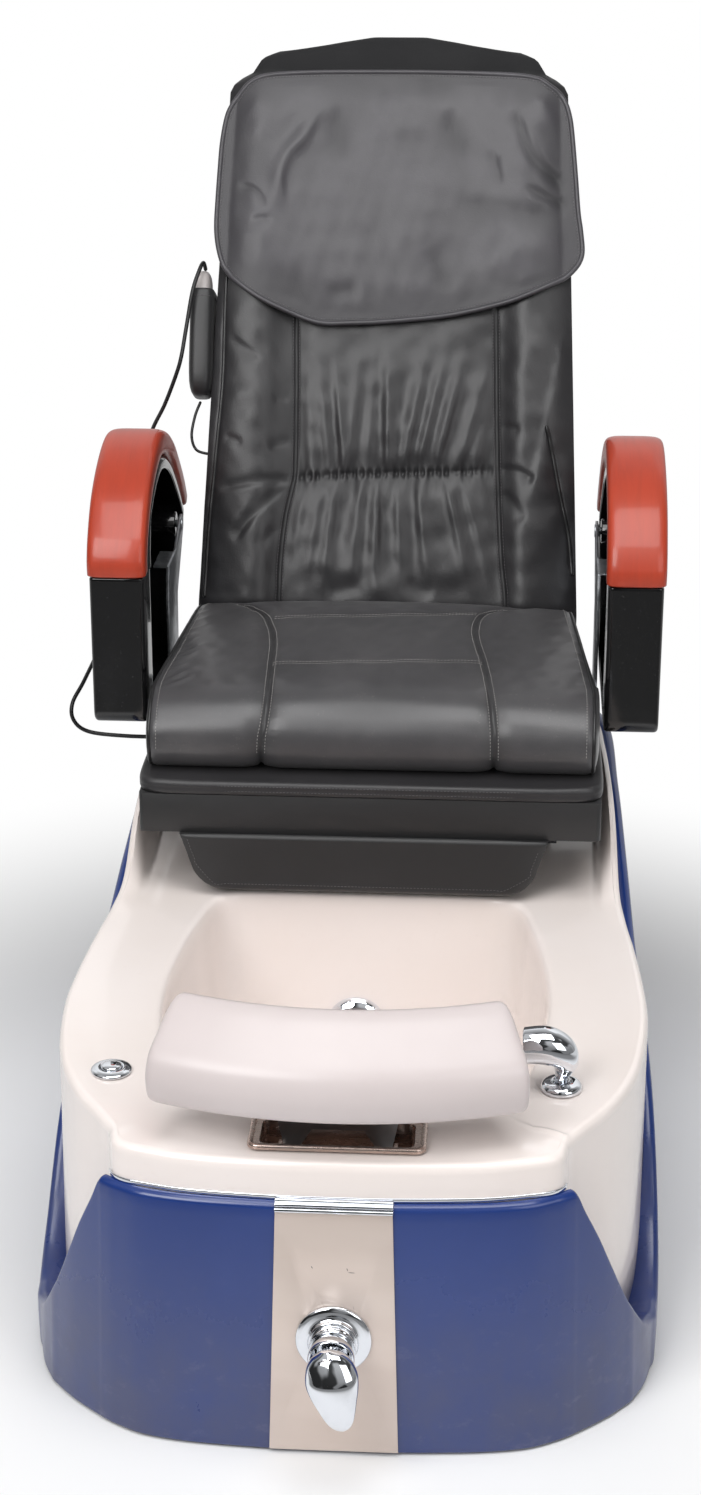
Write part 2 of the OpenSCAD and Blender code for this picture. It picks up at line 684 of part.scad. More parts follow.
carriage_y = [842, 1060];
frame_top = 448.5;
seat_frame_z = rail_z + rail_h + 5;
module rail_carriages() {
    color("#c0c4c8") on_floor() both_sides() translate([rail_x, carriage_y[0], rail_z]) {
        translate([-(rail_w/2 - rail_t - slide_gap), 0, rail_t + slide_gap])
            cube([rail_w - 2*rail_t - 2*slide_gap, carriage_y[1] - carriage_y[0], rail_h - 2*rail_t - 2*slide_gap]);
        translate([-4.5, 0, rail_h - rail_t - slide_gap - 1])
            cube([9, carriage_y[1] - carriage_y[0], seat_frame_z - rail_z - rail_h + rail_t + slide_gap + 1]);
    }
}

module control_box() {
    color("#3d4045") on_floor() translate([-60, 850, deck_z - 8 - 100]) cube([120, 150, 90]);
    color("#3d4045") on_floor() for (s = [-1, 1]) translate([s*50 - 8, 870, platform_z - tub_t - 1 - 30])
        cube([16, 110, 30 - seat_gap]);
}

hose_path = [
    [66.4, 58.8, 142], [84, 60, 142], [112, 68, 138], [150, 90, 122], [212, 150, 100], [226, 400, 92],
    [210, 700, 92], [180, 900, 92], [180, 1150, 92]
];
module supply_hoses() {
    color("#a9adb2") on_floor() both_sides() tube(open_curve(hose_path, 2), 8, 8);
}

air_path = [
    [-262, 204, 309], [-262, 205, 285], [-274, 236, 250], [-288, 400, 230], [-244, 620, 235],
    [-150, 722, 240], [-100, 828, 258], [-74, 870, 269.5], [-61.2, 873, 270]
];
module air_tube() {
    color("#d9d9d2") on_floor() tube(open_curve(air_path, 3), 3, 8);
}

// ---------- seat ----------

deck_y = [665, 1060];
pad_layer_t = 18;
board_z = seat_z - pad_layer_t - 52;
module seat_frame() {
    z = seat_frame_z + 0.2;
    h = board_z - z - seat_gap;
    color("#33363a") on_floor() difference() {
        union() {
            for (s = [-1, 1]) translate([s*rail_x - 15, 790, z]) cube([30, 310, h]);
            for (y = [790, 1070]) translate([-240, y, z]) cube([480, 30, h]);
            // Arms that carry the backrest's hinge over the basin's raised rim
            for (s = [-1, 1]) translate([s*230 - 6, 0, 0]) rotate([90, 0, 90]) linear_extrude(12)
                polygon([
                    [1030, z], [1092, z], [1104, 472], [hinge_y + 8, hinge_z - 15], [hinge_y + 16, hinge_z - 6],
                    [hinge_y + 16, hinge_z + 6], [hinge_y + 8, hinge_z + 15], [hinge_y - 8, hinge_z + 15],
                    [hinge_y - 17, hinge_z + 4], [1076, 492], [1068, z + h], [1030, z + h]
                ]);
        }
        translate([0, hinge_y, hinge_z]) along_x(hinge_r + run_gap, 600);
    }
}

module deck_board() {
    color("#2c2c2e") on_floor() translate([0, 0, board_z]) difference() {
        linear_extrude(seat_z - board_z - pad_layer_t - 0.6)
            translate([0, (deck_y[0] + deck_y[1])/2 - 8]) rounded(deck_w - 6, deck_y[1] - deck_y[0] - 20, 6);
        // Channel for the actuator
        translate([-17, 800, -1]) cube([34, 300, 60]);
    }
}

module deck_upholstery() {
    color("#3c3b3d") on_floor() translate([0, (deck_y[0] + deck_y[1])/2, seat_z - pad_layer_t - 0.3])
        skin([for (s = [[-4, 0], [0, 3], [0, pad_layer_t - 6], [-2, pad_layer_t - 2], [-6, pad_layer_t]])
            [for (k = [0:47])
                let (a = 7.5*k, w = deck_w/2 + s[0], l = (deck_y[1] - deck_y[0])/2 + s[0])
                [w*signed_power(cos(a), 0.14), l*signed_power(sin(a), 0.14), s[1]]]]);
}

skirt_y = [657, 683];
skirt_z = 375;
skirt_x = -7;
module skirt() {
    top = board_z - 0.3;
    color("#3a393b") on_floor() skin([
        for (s = [[0, 199, 4], [5, 205, 1], [26, 216, 0], [top - skirt_z, 234, 2]])
            [for (k = [0:31])
                let (a = 11.25*k, l = (skirt_y[1] - skirt_y[0])/2 - s[2])
                [skirt_x + s[1]*signed_power(cos(a), 0.16),
                 (skirt_y[0] + skirt_y[1])/2 + l*signed_power(sin(a), 0.3), skirt_z + s[0]]]
    ]);
}

// Seat cushion: sections across the chair, from front to back
seat_y = [690, 1090];
channel_x = 148;    // seams along the seat
module seat_cushion() {
    // Share of the length, half width, thickness share, lift of the lower face
    stations = [[0, 0.965, 0.5, 20], [0.006, 0.985, 0.68, 10], [0.02, 1, 0.82, 3], [0.05, 1.005, 0.92, 0],
        [0.1, 1.002, 0.98, 0], [0.17, 0.998, 1, 0], for (k = [1:9]) [0.17 + 0.077*k, 0.998 - 0.006*k, 1, 0],
        [0.92, 0.937, 0.98, 0], [0.96, 0.932, 0.92, 0], [0.985, 0.92, 0.8, 4], [1, 0.9, 0.55, 14]];
    count = 44;
    color("#3c3b3d") on_floor() skin([
        for (s = stations) [for (k = [0:count - 1])
            let (a = 360*k/count,
                 w = s[1]*seat_w/2,
                 h = s[2]*seat_t - s[3],
                 x = w*signed_power(cos(a), 0.42),
                 up = signed_power(sin(a), 0.36),
                 crown = up > 0 ? 9*s[2]*(1 - pow(x/w, 2)) : 0,
                 seam = up > 0.7 ? 5*exp(-pow((abs(x) - channel_x)/7, 2)) : 0)
            [x, seat_y[0] + s[0]*(seat_y[1] - seat_y[0]),
             seat_z + s[3] + h/2 + up*h/2 + crown - seam]]
    ]);
}

// ---------- arms ----------

arm_x = arm_gap/2;
arm_pivot = [1129, 720];
arm_pin_r = 5;
// Outer curve of the arm's pad, from the front foot over the top to the back
arm_curve_points = [
    [786, 744], [786, 768], [803, 802], [842, 842], [904, 873], [976, 888], [1044, 876],
    [1110, 846], [1168, 804], [1212, 766], [1238, 736]
];
arm_curve = open_curve(arm_curve_points, 2);
// Direction into the arm from a point of that curve
function arm_inward(i) =
    let (n = len(arm_curve) - 1, d = arm_curve[min(i + 1, n)] - arm_curve[max(i - 1, 0)])
    [d.y, -d.x]/norm(d);
// Thickness of the pad along the curve, thinner towards the back
function arm_pad_at(i) = arm_pad_t*(i/len(arm_curve) < 0.5 ? 1 : 1.3 - 0.6*i/len(arm_curve));

module arm_pad(side) {
    n = len(arm_curve) - 1;
    count = 16;
    color("#c8492f") on_floor() translate([side*(arm_x + arm_w/2), 0, 0]) skin([
        for (i = [0:n])
            let (t = arm_pad_at(i), d = arm_inward(i), end = i == 0 || i == n ? 0.8 : 1)
            [for (k = [0:count - 1])
                let (u = end*(arm_w/2 + 3)*signed_power(cos(360*k/count), 0.4),
                     v = t/2 - end*t/2*signed_power(sin(360*k/count), 0.4),
                     p = arm_curve[i] + v*d)
                [u, p.x, p.y]]
    ]);
}

arm_wall = 9;
hub_r = 17;
arm_foot = 545;
module arm_outline() {
    n = len(arm_curve) - 1;
    polygon(concat(
        [[790, 743.6], [arm_curve[0].x + arm_pad_t + 0.4, 743.6]],
        [for (i = [1:n]) arm_curve[i] + (arm_pad_at(i) + 0.4)*arm_inward(i)],
        [[1206, 700], [1184, 690], [1160, 672], [1120, 618], [1076, 566], [1040, arm_foot],
         [802, arm_foot], [793, arm_foot + 4], [789, arm_foot + 14], [789, 700]]
    ));
}

module arm_shell(side) {
    x0 = side > 0 ? arm_x : -arm_x - arm_w;
    outer = side > 0 ? arm_x + arm_w - arm_wall : -arm_x - arm_w;
    color("#151516") on_floor() difference() {
        union() {
            across(outer, arm_wall) arm_outline();
            difference() {
                across(x0, arm_w) arm_outline();
                across(x0 - 1, arm_w + 2) offset(delta = -14) arm_outline();
            }
            // Solid front post
            across(x0, arm_w) intersection() {
                arm_outline();
                translate([700, 500]) square([150, 240]);
            }
            translate([side*(arm_x + arm_w/2 + 0.2), arm_pivot[0], arm_pivot[1]]) along_x(hub_r, arm_w - 0.6);
            // Round bulge of the moulding inside the arm
            translate([side*(arm_x + arm_w - 5), 930, 622]) rotate([0, -90*side, 0]) rotate_extrude()
                polygon([[0, 0], [58, 0], for (a = [0:15:90]) [58*cos(a), 26*sin(a)]]);
        }
        translate([side*(arm_x + arm_w/2), arm_pivot[0], arm_pivot[1]]) along_x(arm_pin_r + run_gap, 2*arm_w);
    }
}

// Steel bracket that carries an arm: foot on the deck, upright, shelf and pivot bolt
bracket_y = [975, 1060];
bracket_t4 = 4;
module arm_bracket(side) {
    x = arm_x - 7.5;
    foot = seat_z + 0.1;
    color("#9fa3a8") on_floor() mirror([side < 0 ? 1 : 0, 0, 0]) {
        translate([x, 0, 0]) rotate([90, 0, 90]) linear_extrude(bracket_t4) polygon([
            [bracket_y[0], foot], [bracket_y[1], foot], [bracket_y[1] + 8, 640],
            [arm_pivot[0] + 12, arm_pivot[1] - 10], [arm_pivot[0] + 8, arm_pivot[1] + 12],
            [arm_pivot[0] - 12, arm_pivot[1] + 10], [bracket_y[0] + 90, 701], [bracket_y[0] + 10, 701],
            [bracket_y[0], 660]
        ]);
        translate([x - 26, bracket_y[0], foot]) cube([27, bracket_y[1] - bracket_y[0], 3]);
        translate([x, bracket_y[0] + 12, 698]) cube([22, 70, 3]);
        translate([x + 2, arm_pivot[0], arm_pivot[1]]) along_x(9, 6);
        translate([x + 26, arm_pivot[0], arm_pivot[1]]) along_x(arm_pin_r, 52);
    }
}

// ---------- backrest ----------

back_y = 1110;      // foot of the padded front, and its height
back_z = 600;
hinge_in = [88, -22];
hinge_y = back_y + hinge_in[0]*cos(lean) + hinge_in[1]*sin(lean);
hinge_z = back_z - hinge_in[0]*sin(lean) + hinge_in[1]*cos(lean);
hinge_r = 7;

// Frame of the backrest: Z up along it, -Y out of its padded front
module on_back() on_floor() translate([0, back_y, back_z]) rotate([-lean, 0, 0]) children();

// Half width of the backrest at a height along it: shares of the height, from the shoulders to the
// narrower roll at the top, and of the half width at the seat
back_taper = [
    [0, 1], [0.894, 0.896], [0.907, 0.876], [0.918, 0.835], [0.928, 0.778], [0.954, 0.729],
    [0.97, 0.632], [0.98, 0.444], [0.988, 0.32], [0.994, 0.21], [1, 0.16]
];
function back_half(s) = back_w/2*lookup(s/back_l, back_taper);
bolster_x = 142;    // seams between the middle panel and the side bolsters
gather_s = 178;     // height of the gathered seam

back_foot = -14;    // lower end of the padded front
// Depth of the padded front, forward of the frame's plane, with its seams or without
function front_depth(x, s, seams = 1) =
    let (w = back_half(s),
         side = 1/(1 + exp(-(abs(x) - bolster_x - 26)/9)),
         edge = pow(abs(x)/w, 8),
         seam = seams*9*exp(-pow((abs(x) - bolster_x)/9, 2)),
         gather = abs(x) < bolster_x ? 12*exp(-pow((s - gather_s)/22, 2)) : 0,
         fold = abs(x) < bolster_x ? 3*cos(x*7.6)*exp(-pow((s - gather_s)/70, 2)) : 0,
         belly = 8*cos(180*(s/back_l - 0.4)))
    belly + 16*side - 20*edge - seam - gather + fold;

module back_cushion() {
    count = 25;
    stations = [back_foot, back_foot + 8, back_foot + 22, for (k = [1:17]) (back_l - 87)*k/17,
        for (d = [74, 65, 58, 46, 35, 25, 17, 10, 5]) back_l - d];
    color("#3c3b3d") on_back() skin([
        for (s = stations)
            let (w = back_half(s),
                 end = min(s - back_foot, back_l - s)/34,
                 round_off = end < 1 ? 24*(1 - sqrt(max(0, 1 - pow(1 - end, 2)))) : 0)
            concat(
                [for (k = [0:count - 1])
                    let (x = w*sin(-90 + 180*k/(count - 1)), d = front_depth(x, s))
                    [x, round_off - d, s]],
                [for (k = [0:6]) let (x = w*(1 - 2*k/6)) [x*0.985, pad_t - 4 - seat_gap, s]]
            )
    ]);
}

// Hard shell behind the backrest
shell_depth = 58;
module back_shell() {
    function wall(s, inset, x) = pad_t + 8 + (shell_depth - inset)*pow(max(0, 1 - pow(abs(x)/(back_half(s) - inset), 3)), 0.5);
    function outline(s, inset) = concat(
        [for (k = [0:16]) let (w = back_half(s) - inset, x = w*cos(180*k/16)) [x, wall(s, inset, x), s]],
        [[-back_half(s) + inset, pad_t - 4, s], [back_half(s) - inset, pad_t - 4, s]]
    );
    color("#1b1b1d") on_back() difference() {
        skin([for (s = [8, 20, 200, 400, 600, for (d = [87, 65, 58, 38, 25, 17, 10, 5]) back_l - d])
            outline(s, 0)]);
        skin([for (s = [0, 200, 400, 600, back_l - 92, back_l - 72])
            [for (p = outline(s, 5)) [p.x, p.y < pad_t ? pad_t - 20 : p.y, p.z]]]);
    }
}

// Steel frame inside the backrest, with its hinge ears and the lever that the actuator pushes
tube_r = 9;
frame_d = pad_t + 22;
lever_l = 76;
lever_a = 14;       // the lever's angle behind straight down, in the chair's upright frame
rod_y = hinge_y + lever_l*sin(lever_a);
rod_z = hinge_z - lever_l*cos(lever_a);
guide_x = 100;      // guide rods of the massage carriage
guide_r = 6;
module back_frame() {
    color("#3a3d42") {
        on_back() {
            for (s = [-1, 1]) translate([s*205, frame_d, 20]) cylinder(r = tube_r, h = back_l - 115);
            for (h = [30, back_l - 105]) translate([0, frame_d, h]) along_x(tube_r, 410);
            // Straps that the padded front is screwed to
            for (s = [-1, 1]) translate([s*205 - 9, pad_t - 4, 150]) cube([18, frame_d - pad_t + 6, 380]);
            for (s = [-1, 1]) translate([s*guide_x, frame_d + 8, 25]) cylinder(r = guide_r, h = back_l - 112);
            difference() {
                for (s = [-1, 1]) translate([s*214 - 4, 0, 0]) rotate([90, 0, 90]) linear_extrude(8)
                    polygon([[hinge_in[0] - 16, hinge_in[1] - 16], [hinge_in[0] + 18, hinge_in[1] - 16],
                        [frame_d + 14, 70], [frame_d - 10, 70], [hinge_in[0] - 16, hinge_in[1] + 16]]);
                translate([0, hinge_in[0], hinge_in[1]]) along_x(hinge_r + run_gap, 600);
            }
        }
        // Lever down to the actuator, on the cross tube
        on_floor() difference() {
            for (s = [-1, 1]) translate([s*17 - 3, 0, 0]) rotate([90, 0, 90]) linear_extrude(6) polygon([
                [rod_y - 9, rod_z - 4], [rod_y - 4, rod_z - 9], [rod_y + 4, rod_z - 9], [rod_y + 9, rod_z - 4],
                [hinge_y + 34, hinge_z + 48], [hinge_y + 10, hinge_z + 48]
            ]);
            translate([0, rod_y, rod_z]) along_x(4, 100);
        }
        on_floor() translate([0, rod_y, rod_z]) along_x(5, 46);
    }
}

module back_hinge_pin() {
    color("#aeb2b6") on_floor() translate([0, hinge_y, hinge_z]) along_x(hinge_r, 476);
}

// Linear actuator that reclines the backrest. Its rod ends in a slotted eye round the lever's pin.
actuator_y = 832;
tube_back = 1010;
module recline_actuator() {
    color("#55585d") on_floor() translate([0, actuator_y, rod_z]) {
        difference() {
            along_y(11.5, tube_back - actuator_y);
            translate([0, 50, 0]) along_y(rod_r + 0.5, 200);
        }
        translate([-11, -22, -11]) cube([22, 24, 22]);
        translate([-8, -22, board_z - rod_z]) cube([16, 20, rod_z - board_z - 8]);
        translate([-15, 8, 405 - rod_z]) cube([30, 70, rod_z - 405 - 4]);
    }
}

rod_r = 7;
eye_w = 16;
module actuator_rod() {
    color("#c9ccd0") on_floor() difference() {
        union() {
            translate([0, rod_y - 250, rod_z]) along_y(rod_r, 244);
            translate([-eye_w/2, rod_y - 10, rod_z - 1.3 - 11]) cube([eye_w, 20, 22]);
        }
        for (z = [-2, 2]) translate([0, rod_y, rod_z - 1.3 + z]) along_x(6, 60);
        translate([-30, rod_y - 6, rod_z - 1.3 - 2]) cube([60, 12, 4]);
    }
}

// Massage carriage on the two guide rods inside the backrest
carriage_s = 330;
roller_r = 22;
axle_r = 5;
module massage_carriage() {
    d = frame_d + 8;
    color("#5a5d62") on_back() translate([0, d, carriage_s]) difference() {
        union() {
            translate([-guide_x - 12, 18, -34]) cube([2*guide_x + 24, 7, 68]);
            for (s = [-1, 1]) {
                translate([s*guide_x - 12, -11, -30]) cube([24, 34, 60]);
                translate([s*82 - 4, -18, -14]) cube([8, 38, 28]);
                translate([s*82 - 4 - (s > 0 ? 0 : 8), -9, -14]) cube([16, 20, 28]);
            }
        }
        for (s = [-1, 1]) translate([s*guide_x, 0, -60]) cylinder(r = guide_r + run_gap, h = 120);
        translate([0, -8, 0]) along_x(axle_r + run_gap, 176);
    }
}

module massage_rollers() {
    color("#7d5a3c") on_back() translate([0, frame_d, carriage_s]) {
        along_x(axle_r, 172);
        for (s = [-1, 1], d = [26, 60]) translate([s*d, 0, 0]) along_x(roller_r, 22);
    }
}

// Head flap: half width at a height along the backrest
flap_shape = [
    [408, 30], [412, 90], [424, 150], [445, 205], [475, 243], [510, 261], [560, 263], [620, 254],
    [680, 246], [718, 234], [741, 216], [758, 195]
];
flap_t = 6;
flap_gap = 3.2;
module head_flap() {
    shape = open_curve(flap_shape, 2);
    count = 11;
    color("#58565a") on_back() skin([
        for (p = shape)
            concat(
                [for (k = [-count:count])
                    let (x = p[1]*k/count, w = back_half(p[0]) - 12)
                    [x, -front_depth(max(-w, min(w, x)), p[0], 0) - flap_gap - flap_t, p[0]]],
                [for (k = [count:-1:-count])
                    let (x = p[1]*k/count, w = back_half(p[0]) - 12)
                    [x, -front_depth(max(-w, min(w, x)), p[0], 0) - flap_gap, p[0]]]
            )
    ]);
}

// Pouch on the side of the backrest, and the remote in it
pouch_s = [302, 452];
pouch_y = 15;
pouch_w = 34;
pouch_l = 74;
pouch_wall = 3;
module pouch_frame() {
    on_back() translate([-(back_half(pouch_s[0] + 45) + pouch_w/2 + seat_gap), pouch_y, pouch_s[0]]) children();
}
module remote_pouch() {
    color("#2f2f31") pouch_frame() difference() {
        skin([for (s = [[0, 0.5], [6, 0.78], [20, 0.95], [45, 1], [pouch_s[1] - pouch_s[0], 1]])
            [for (k = [0:27])
                let (a = 360*k/28)
                [s[1]*pouch_w/2*signed_power(cos(a), 0.5), s[1]*pouch_l/2*signed_power(sin(a), 0.35), s[0]]]]);
        translate([0, 0, 14]) rounded_box(pouch_w - 2*pouch_wall, pouch_l - 2*pouch_wall - 6, 200, 6);
    }
}

remote_l = 162;
module remote() {
    color("#d5cfcd") pouch_frame() translate([0, 0, 16]) skin([
        for (s = [[0, 0.7], [4, 0.92], [12, 1], [remote_l - 34, 1], [remote_l - 14, 0.93], [remote_l - 4, 0.75],
                [remote_l, 0.45]])
            [for (k = [0:23])
                let (a = 15*k)
                [s[1]*11.5*signed_power(cos(a), 0.6), s[1]*28*signed_power(sin(a), 0.6), s[0]]]
    ]);
}

// Cord from the remote, out of the pouch, behind the arm and round to the seat's side
cord_r = 2.8;
cord_points = [
    [-268, 1297, 1046], [-269, 1280, 1058], [-273, 1262, 1050], [-281, 1246, 1024], [-289, 1228, 975],
    [-295, 1214, 938], [-303, 1214, 912], [-322, 1228, 866], [-346, 1250, 818], [-366, 1262, 750],
    [-380, 1240, 680], [-388, 1160, 615], [-396, 1060, 568], [-410, 985, 536], [-422, 952, 514],
    [-420, 944, 492], [-400, 946, 475], [-350, 948, 469], [-295, 950, 468]
];
module remote_cord() {
    color("#1c1c1d") on_floor() tube(open_curve(cord_points, 3), cord_r, 8);
}

tie_points = [[-272, 1235, 868], [-279, 1227, 850], [-283, 1216, 824], [-276, 1212, 805], [-257, 1212, 799]];
module pouch_tie() {
    color("#1c1c1d") on_floor() tube(open_curve(tie_points, 3), 2, 8);
}

module arm_shell_left() arm_shell(-1);
module arm_shell_right() arm_shell(1);
module arm_pad_left() arm_pad(-1);
module arm_pad_right() arm_pad(1);
module arm_bracket_left() arm_bracket(-1);
module arm_bracket_right() arm_bracket(1);

base_shell();
tub();
front_panel();
panel_cap();
nose_trim();
valve_escutcheon();
valve_sleeve();
valve_body();
footrest_well();
footrest_pin();
air_button_bezel();
spray_collar();
jet_cover();
jet_pump();
drain_strainer();
drain_pipe();
base_frame();
levelling_feet();
seat_rails();
control_box();
supply_hoses();
air_tube();
air_button();
valve_stem();
valve_lever();
spray_head();
spray_hose();
footrest_bracket();
footrest_pad();
jet_impeller();
rail_carriages();
seat_frame();
deck_board();
deck_upholstery();
skirt();
seat_cushion();
arm_bracket_left();
arm_bracket_right();
back_hinge_pin();
recline_actuator();
actuator_rod();
arm_shell_left();
arm_pad_left();
arm_shell_right();
arm_pad_right();
back_frame();
back_shell();
back_cushion();
head_flap();
remote_pouch();
massage_carriage();
massage_rollers();
remote();
remote_cord();
pouch_tie();
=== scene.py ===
"""Pedicure spa chair: surfaces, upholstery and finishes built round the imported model.

Shapes are worked out in millimetres, with Y = 0 at the front of the foot basin, and are put into
metres in the model's own frame by piece().
"""

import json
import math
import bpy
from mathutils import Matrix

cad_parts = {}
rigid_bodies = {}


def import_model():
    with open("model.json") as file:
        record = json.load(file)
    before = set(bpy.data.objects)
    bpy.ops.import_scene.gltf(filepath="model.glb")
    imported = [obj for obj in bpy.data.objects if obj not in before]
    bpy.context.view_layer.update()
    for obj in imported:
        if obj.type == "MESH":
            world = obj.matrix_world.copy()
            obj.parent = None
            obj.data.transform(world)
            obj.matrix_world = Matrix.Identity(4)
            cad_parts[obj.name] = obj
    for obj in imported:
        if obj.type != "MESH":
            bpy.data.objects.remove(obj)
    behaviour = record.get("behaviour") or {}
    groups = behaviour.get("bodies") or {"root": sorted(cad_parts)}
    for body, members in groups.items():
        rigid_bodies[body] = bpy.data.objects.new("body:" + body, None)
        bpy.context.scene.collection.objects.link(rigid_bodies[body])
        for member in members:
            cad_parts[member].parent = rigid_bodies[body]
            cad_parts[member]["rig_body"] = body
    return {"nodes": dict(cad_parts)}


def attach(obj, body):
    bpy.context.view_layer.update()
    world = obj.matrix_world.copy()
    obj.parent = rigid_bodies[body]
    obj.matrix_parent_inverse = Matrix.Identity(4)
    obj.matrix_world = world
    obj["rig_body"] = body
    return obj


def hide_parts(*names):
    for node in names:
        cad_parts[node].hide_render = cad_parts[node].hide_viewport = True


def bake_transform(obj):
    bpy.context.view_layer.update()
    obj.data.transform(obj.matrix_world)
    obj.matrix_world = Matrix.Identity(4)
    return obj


bl_info = {
    "name": "Pedicure spa chair",
    "version": (1, 0, 0),
    "blender": (4, 5, 0),
    "location": "3D View > Sidebar > Spa chair",
    "description": "Builds the shells, fittings, upholstery and finishes of a pedicure spa chair",
    "category": "Object",
}

import bpy
import numpy as np
from bpy.props import FloatProperty, FloatVectorProperty, PointerProperty
from bpy.types import Operator, Panel, PropertyGroup

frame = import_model()
nodes = frame["nodes"]

MIDDLE = 733.0   # the chair's middle, from the front of the basin


# ---------------------------------------------------------------- curves

def curve(points, per, closed=False):
    """Smooth cubic through the points, per steps from one to the next: at each point its slope is
    half the way from the point before to the point after."""
    p = np.asarray(points, float)
    if closed:
        a, b, c, d = np.roll(p, 1, 0), p, np.roll(p, -1, 0), np.roll(p, -2, 0)
    else:
        q = np.vstack([p[:1], p, p[-1:]])
        a, b, c, d = q[:-3], q[1:-2], q[2:-1], q[3:]
    t = (np.arange(per) / per)[None, :, None]
    a, b, c, d = (q[:, None, :] for q in (a, b, c, d))
    r = (2*b + (c - a)*t + (2*a - 5*b + 4*c - d)*t*t + (3*b - a - 3*c + d)*t**3) / 2
    r = r.reshape(-1, p.shape[1])
    return r if closed else np.vstack([r, p[-1:]])


def even(points, count, closed=False):
    """The points of a line, spaced evenly along it."""
    p = np.asarray(points, float)
    if closed:
        p = np.vstack([p, p[:1]])
    run = np.r_[0, np.cumsum(np.linalg.norm(np.diff(p, axis=0), axis=1))]
    at = np.linspace(0, run[-1], count + 1 if closed else count)
    if closed:
        at = at[:-1]
    return np.stack([np.interp(at, run, p[:, k]) for k in range(p.shape[1])], 1)


def mirrored(half):
    """A right half from front middle to back middle, made whole by its mirror image in x."""
    h = np.asarray(half, float)
    other = h[-2:0:-1].copy()
    other[:, 0] *= -1
    return np.vstack([h, other])


def outward(loop):
    """Directions out of a counterclockwise loop: its direction of travel turned right."""
    d = np.roll(loop[:, :2], -1, 0) - np.roll(loop[:, :2], 1, 0)
    n = np.stack([d[:, 1], -d[:, 0]], 1)
    return n / np.linalg.norm(n, axis=1, keepdims=True)


def power(v, e):
    """v raised to e with its sign kept: turns a circle's sine and cosine into a rounded square's."""
    return np.sign(v) * np.abs(v)**e


def bell(v, width):
    """Height 1 at v = 0, falling away as exp(-(v/width) squared)."""
    return np.exp(-(np.asarray(v, float) / width)**2)


def step(v, low, high):
    """0 below low, 1 above high, and a smooth S between."""
    t = np.clip((np.asarray(v, float) - low) / (high - low), 0, 1)
    return t*t*(3 - 2*t)


def ripples(x, y, seed, count=9, shortest=40.0, longest=160.0):
    """Sum of count cosine waves of random direction, length and phase, about -1 to 1."""
    rng = np.random.default_rng(seed)
    total = np.zeros(np.broadcast(x, y).shape)
    for _ in range(count):
        a, wave, phase = rng.uniform(0, math.pi), rng.uniform(shortest, longest), rng.uniform(0, 6.28)
        total = total + np.cos(2*math.pi*(x*math.cos(a) + y*math.sin(a))/wave + phase)
    return total / math.sqrt(count) / 1.6


def eased(rings, per):
    """Rings between the given ones, on a curve through each column of points whose speed follows
    the root of their distances, so that a tight bend beside a long run doesn't overshoot."""
    r = np.asarray(rings, float)
    r = np.concatenate([2*r[:1] - r[1:2], r, 2*r[-1:] - r[-2:-1]])
    k = np.maximum(np.linalg.norm(np.diff(r, axis=0), axis=2, keepdims=True), 1e-6)**0.5
    p0, p1, p2, p3 = r[:-3], r[1:-2], r[2:-1], r[3:]
    d1, d2, d3 = k[:-2], k[1:-1], k[2:]
    m1 = ((p1 - p0)/d1 - (p2 - p0)/(d1 + d2) + (p2 - p1)/d2)*d2
    m2 = ((p2 - p1)/d2 - (p3 - p1)/(d2 + d3) + (p3 - p2)/d3)*d2
    t = (np.arange(per) / per)[None, :, None, None]
    p1, p2, m1, m2 = (q[:, None] for q in (p1, p2, m1, m2))
    out = (2*t**3 - 3*t**2 + 1)*p1 + (t**3 - 2*t**2 + t)*m1 + (3*t**2 - 2*t**3)*p2 + (t**3 - t**2)*m2
    return np.concatenate([out.reshape(-1, *r.shape[1:]), r[-2:-1]])


# ---------------------------------------------------------------- meshes

def piece(name, points, faces, finish, body, stands_for=(), smooth=True):
    """A mesh object from points in millimetres, riding on a body."""
    p = np.array(points, float).reshape(-1, 3)
    p[:, 1] -= MIDDLE
    mesh = bpy.data.meshes.new(name)
    mesh.from_pydata((p / 1000).tolist(), [], [list(map(int, f)) for f in faces])
    mesh.polygons.foreach_set("use_smooth", np.full(len(mesh.polygons), smooth))
    mesh.materials.append(finish)
    mesh.validate()
    thing = bpy.data.objects.new(name, mesh)
    bpy.context.scene.collection.objects.link(thing)
    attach(thing, body)
    if stands_for:
        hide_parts(*stands_for)
    return thing


def net(n, m, round_trip=False):
    """Four-sided faces between n rings of m points, and from the last ring to the first if it is a
    round trip."""
    i = np.arange(n if round_trip else n - 1)[:, None]
    j = np.arange(m)[None, :]
    below, beside = (i + 1) % n, (j + 1) % m
    return np.stack([i*m + j, i*m + beside, below*m + beside, below*m + j], -1).reshape(-1, 4)


def volume(p, faces):
    """Six times the volume inside the faces, negative when they point inwards."""
    total = 0.0
    for f in faces:
        f = np.asarray(f)
        for k in range(1, f.shape[1] - 1):
            total += np.einsum("ij,ij->", p[f[:, 0]], np.cross(p[f[:, k]], p[f[:, k + 1]]))
    return total


def fans(n, m):
    """Triangles that close n rings of m points, towards two poles stored after them."""
    k = np.arange(m)
    beside = (k + 1) % m
    last = (n - 1)*m
    return np.vstack([np.stack([np.full(m, n*m), beside, k], 1),
                      np.stack([np.full(m, n*m + 1), last + k, last + beside], 1)])


def facing_out(points, faces):
    """Groups of faces as one list, each face turned over if they point inwards."""
    if volume(points, faces) < 0:
        faces = [f[:, ::-1] for f in faces]
    return [f for part in faces for f in part]


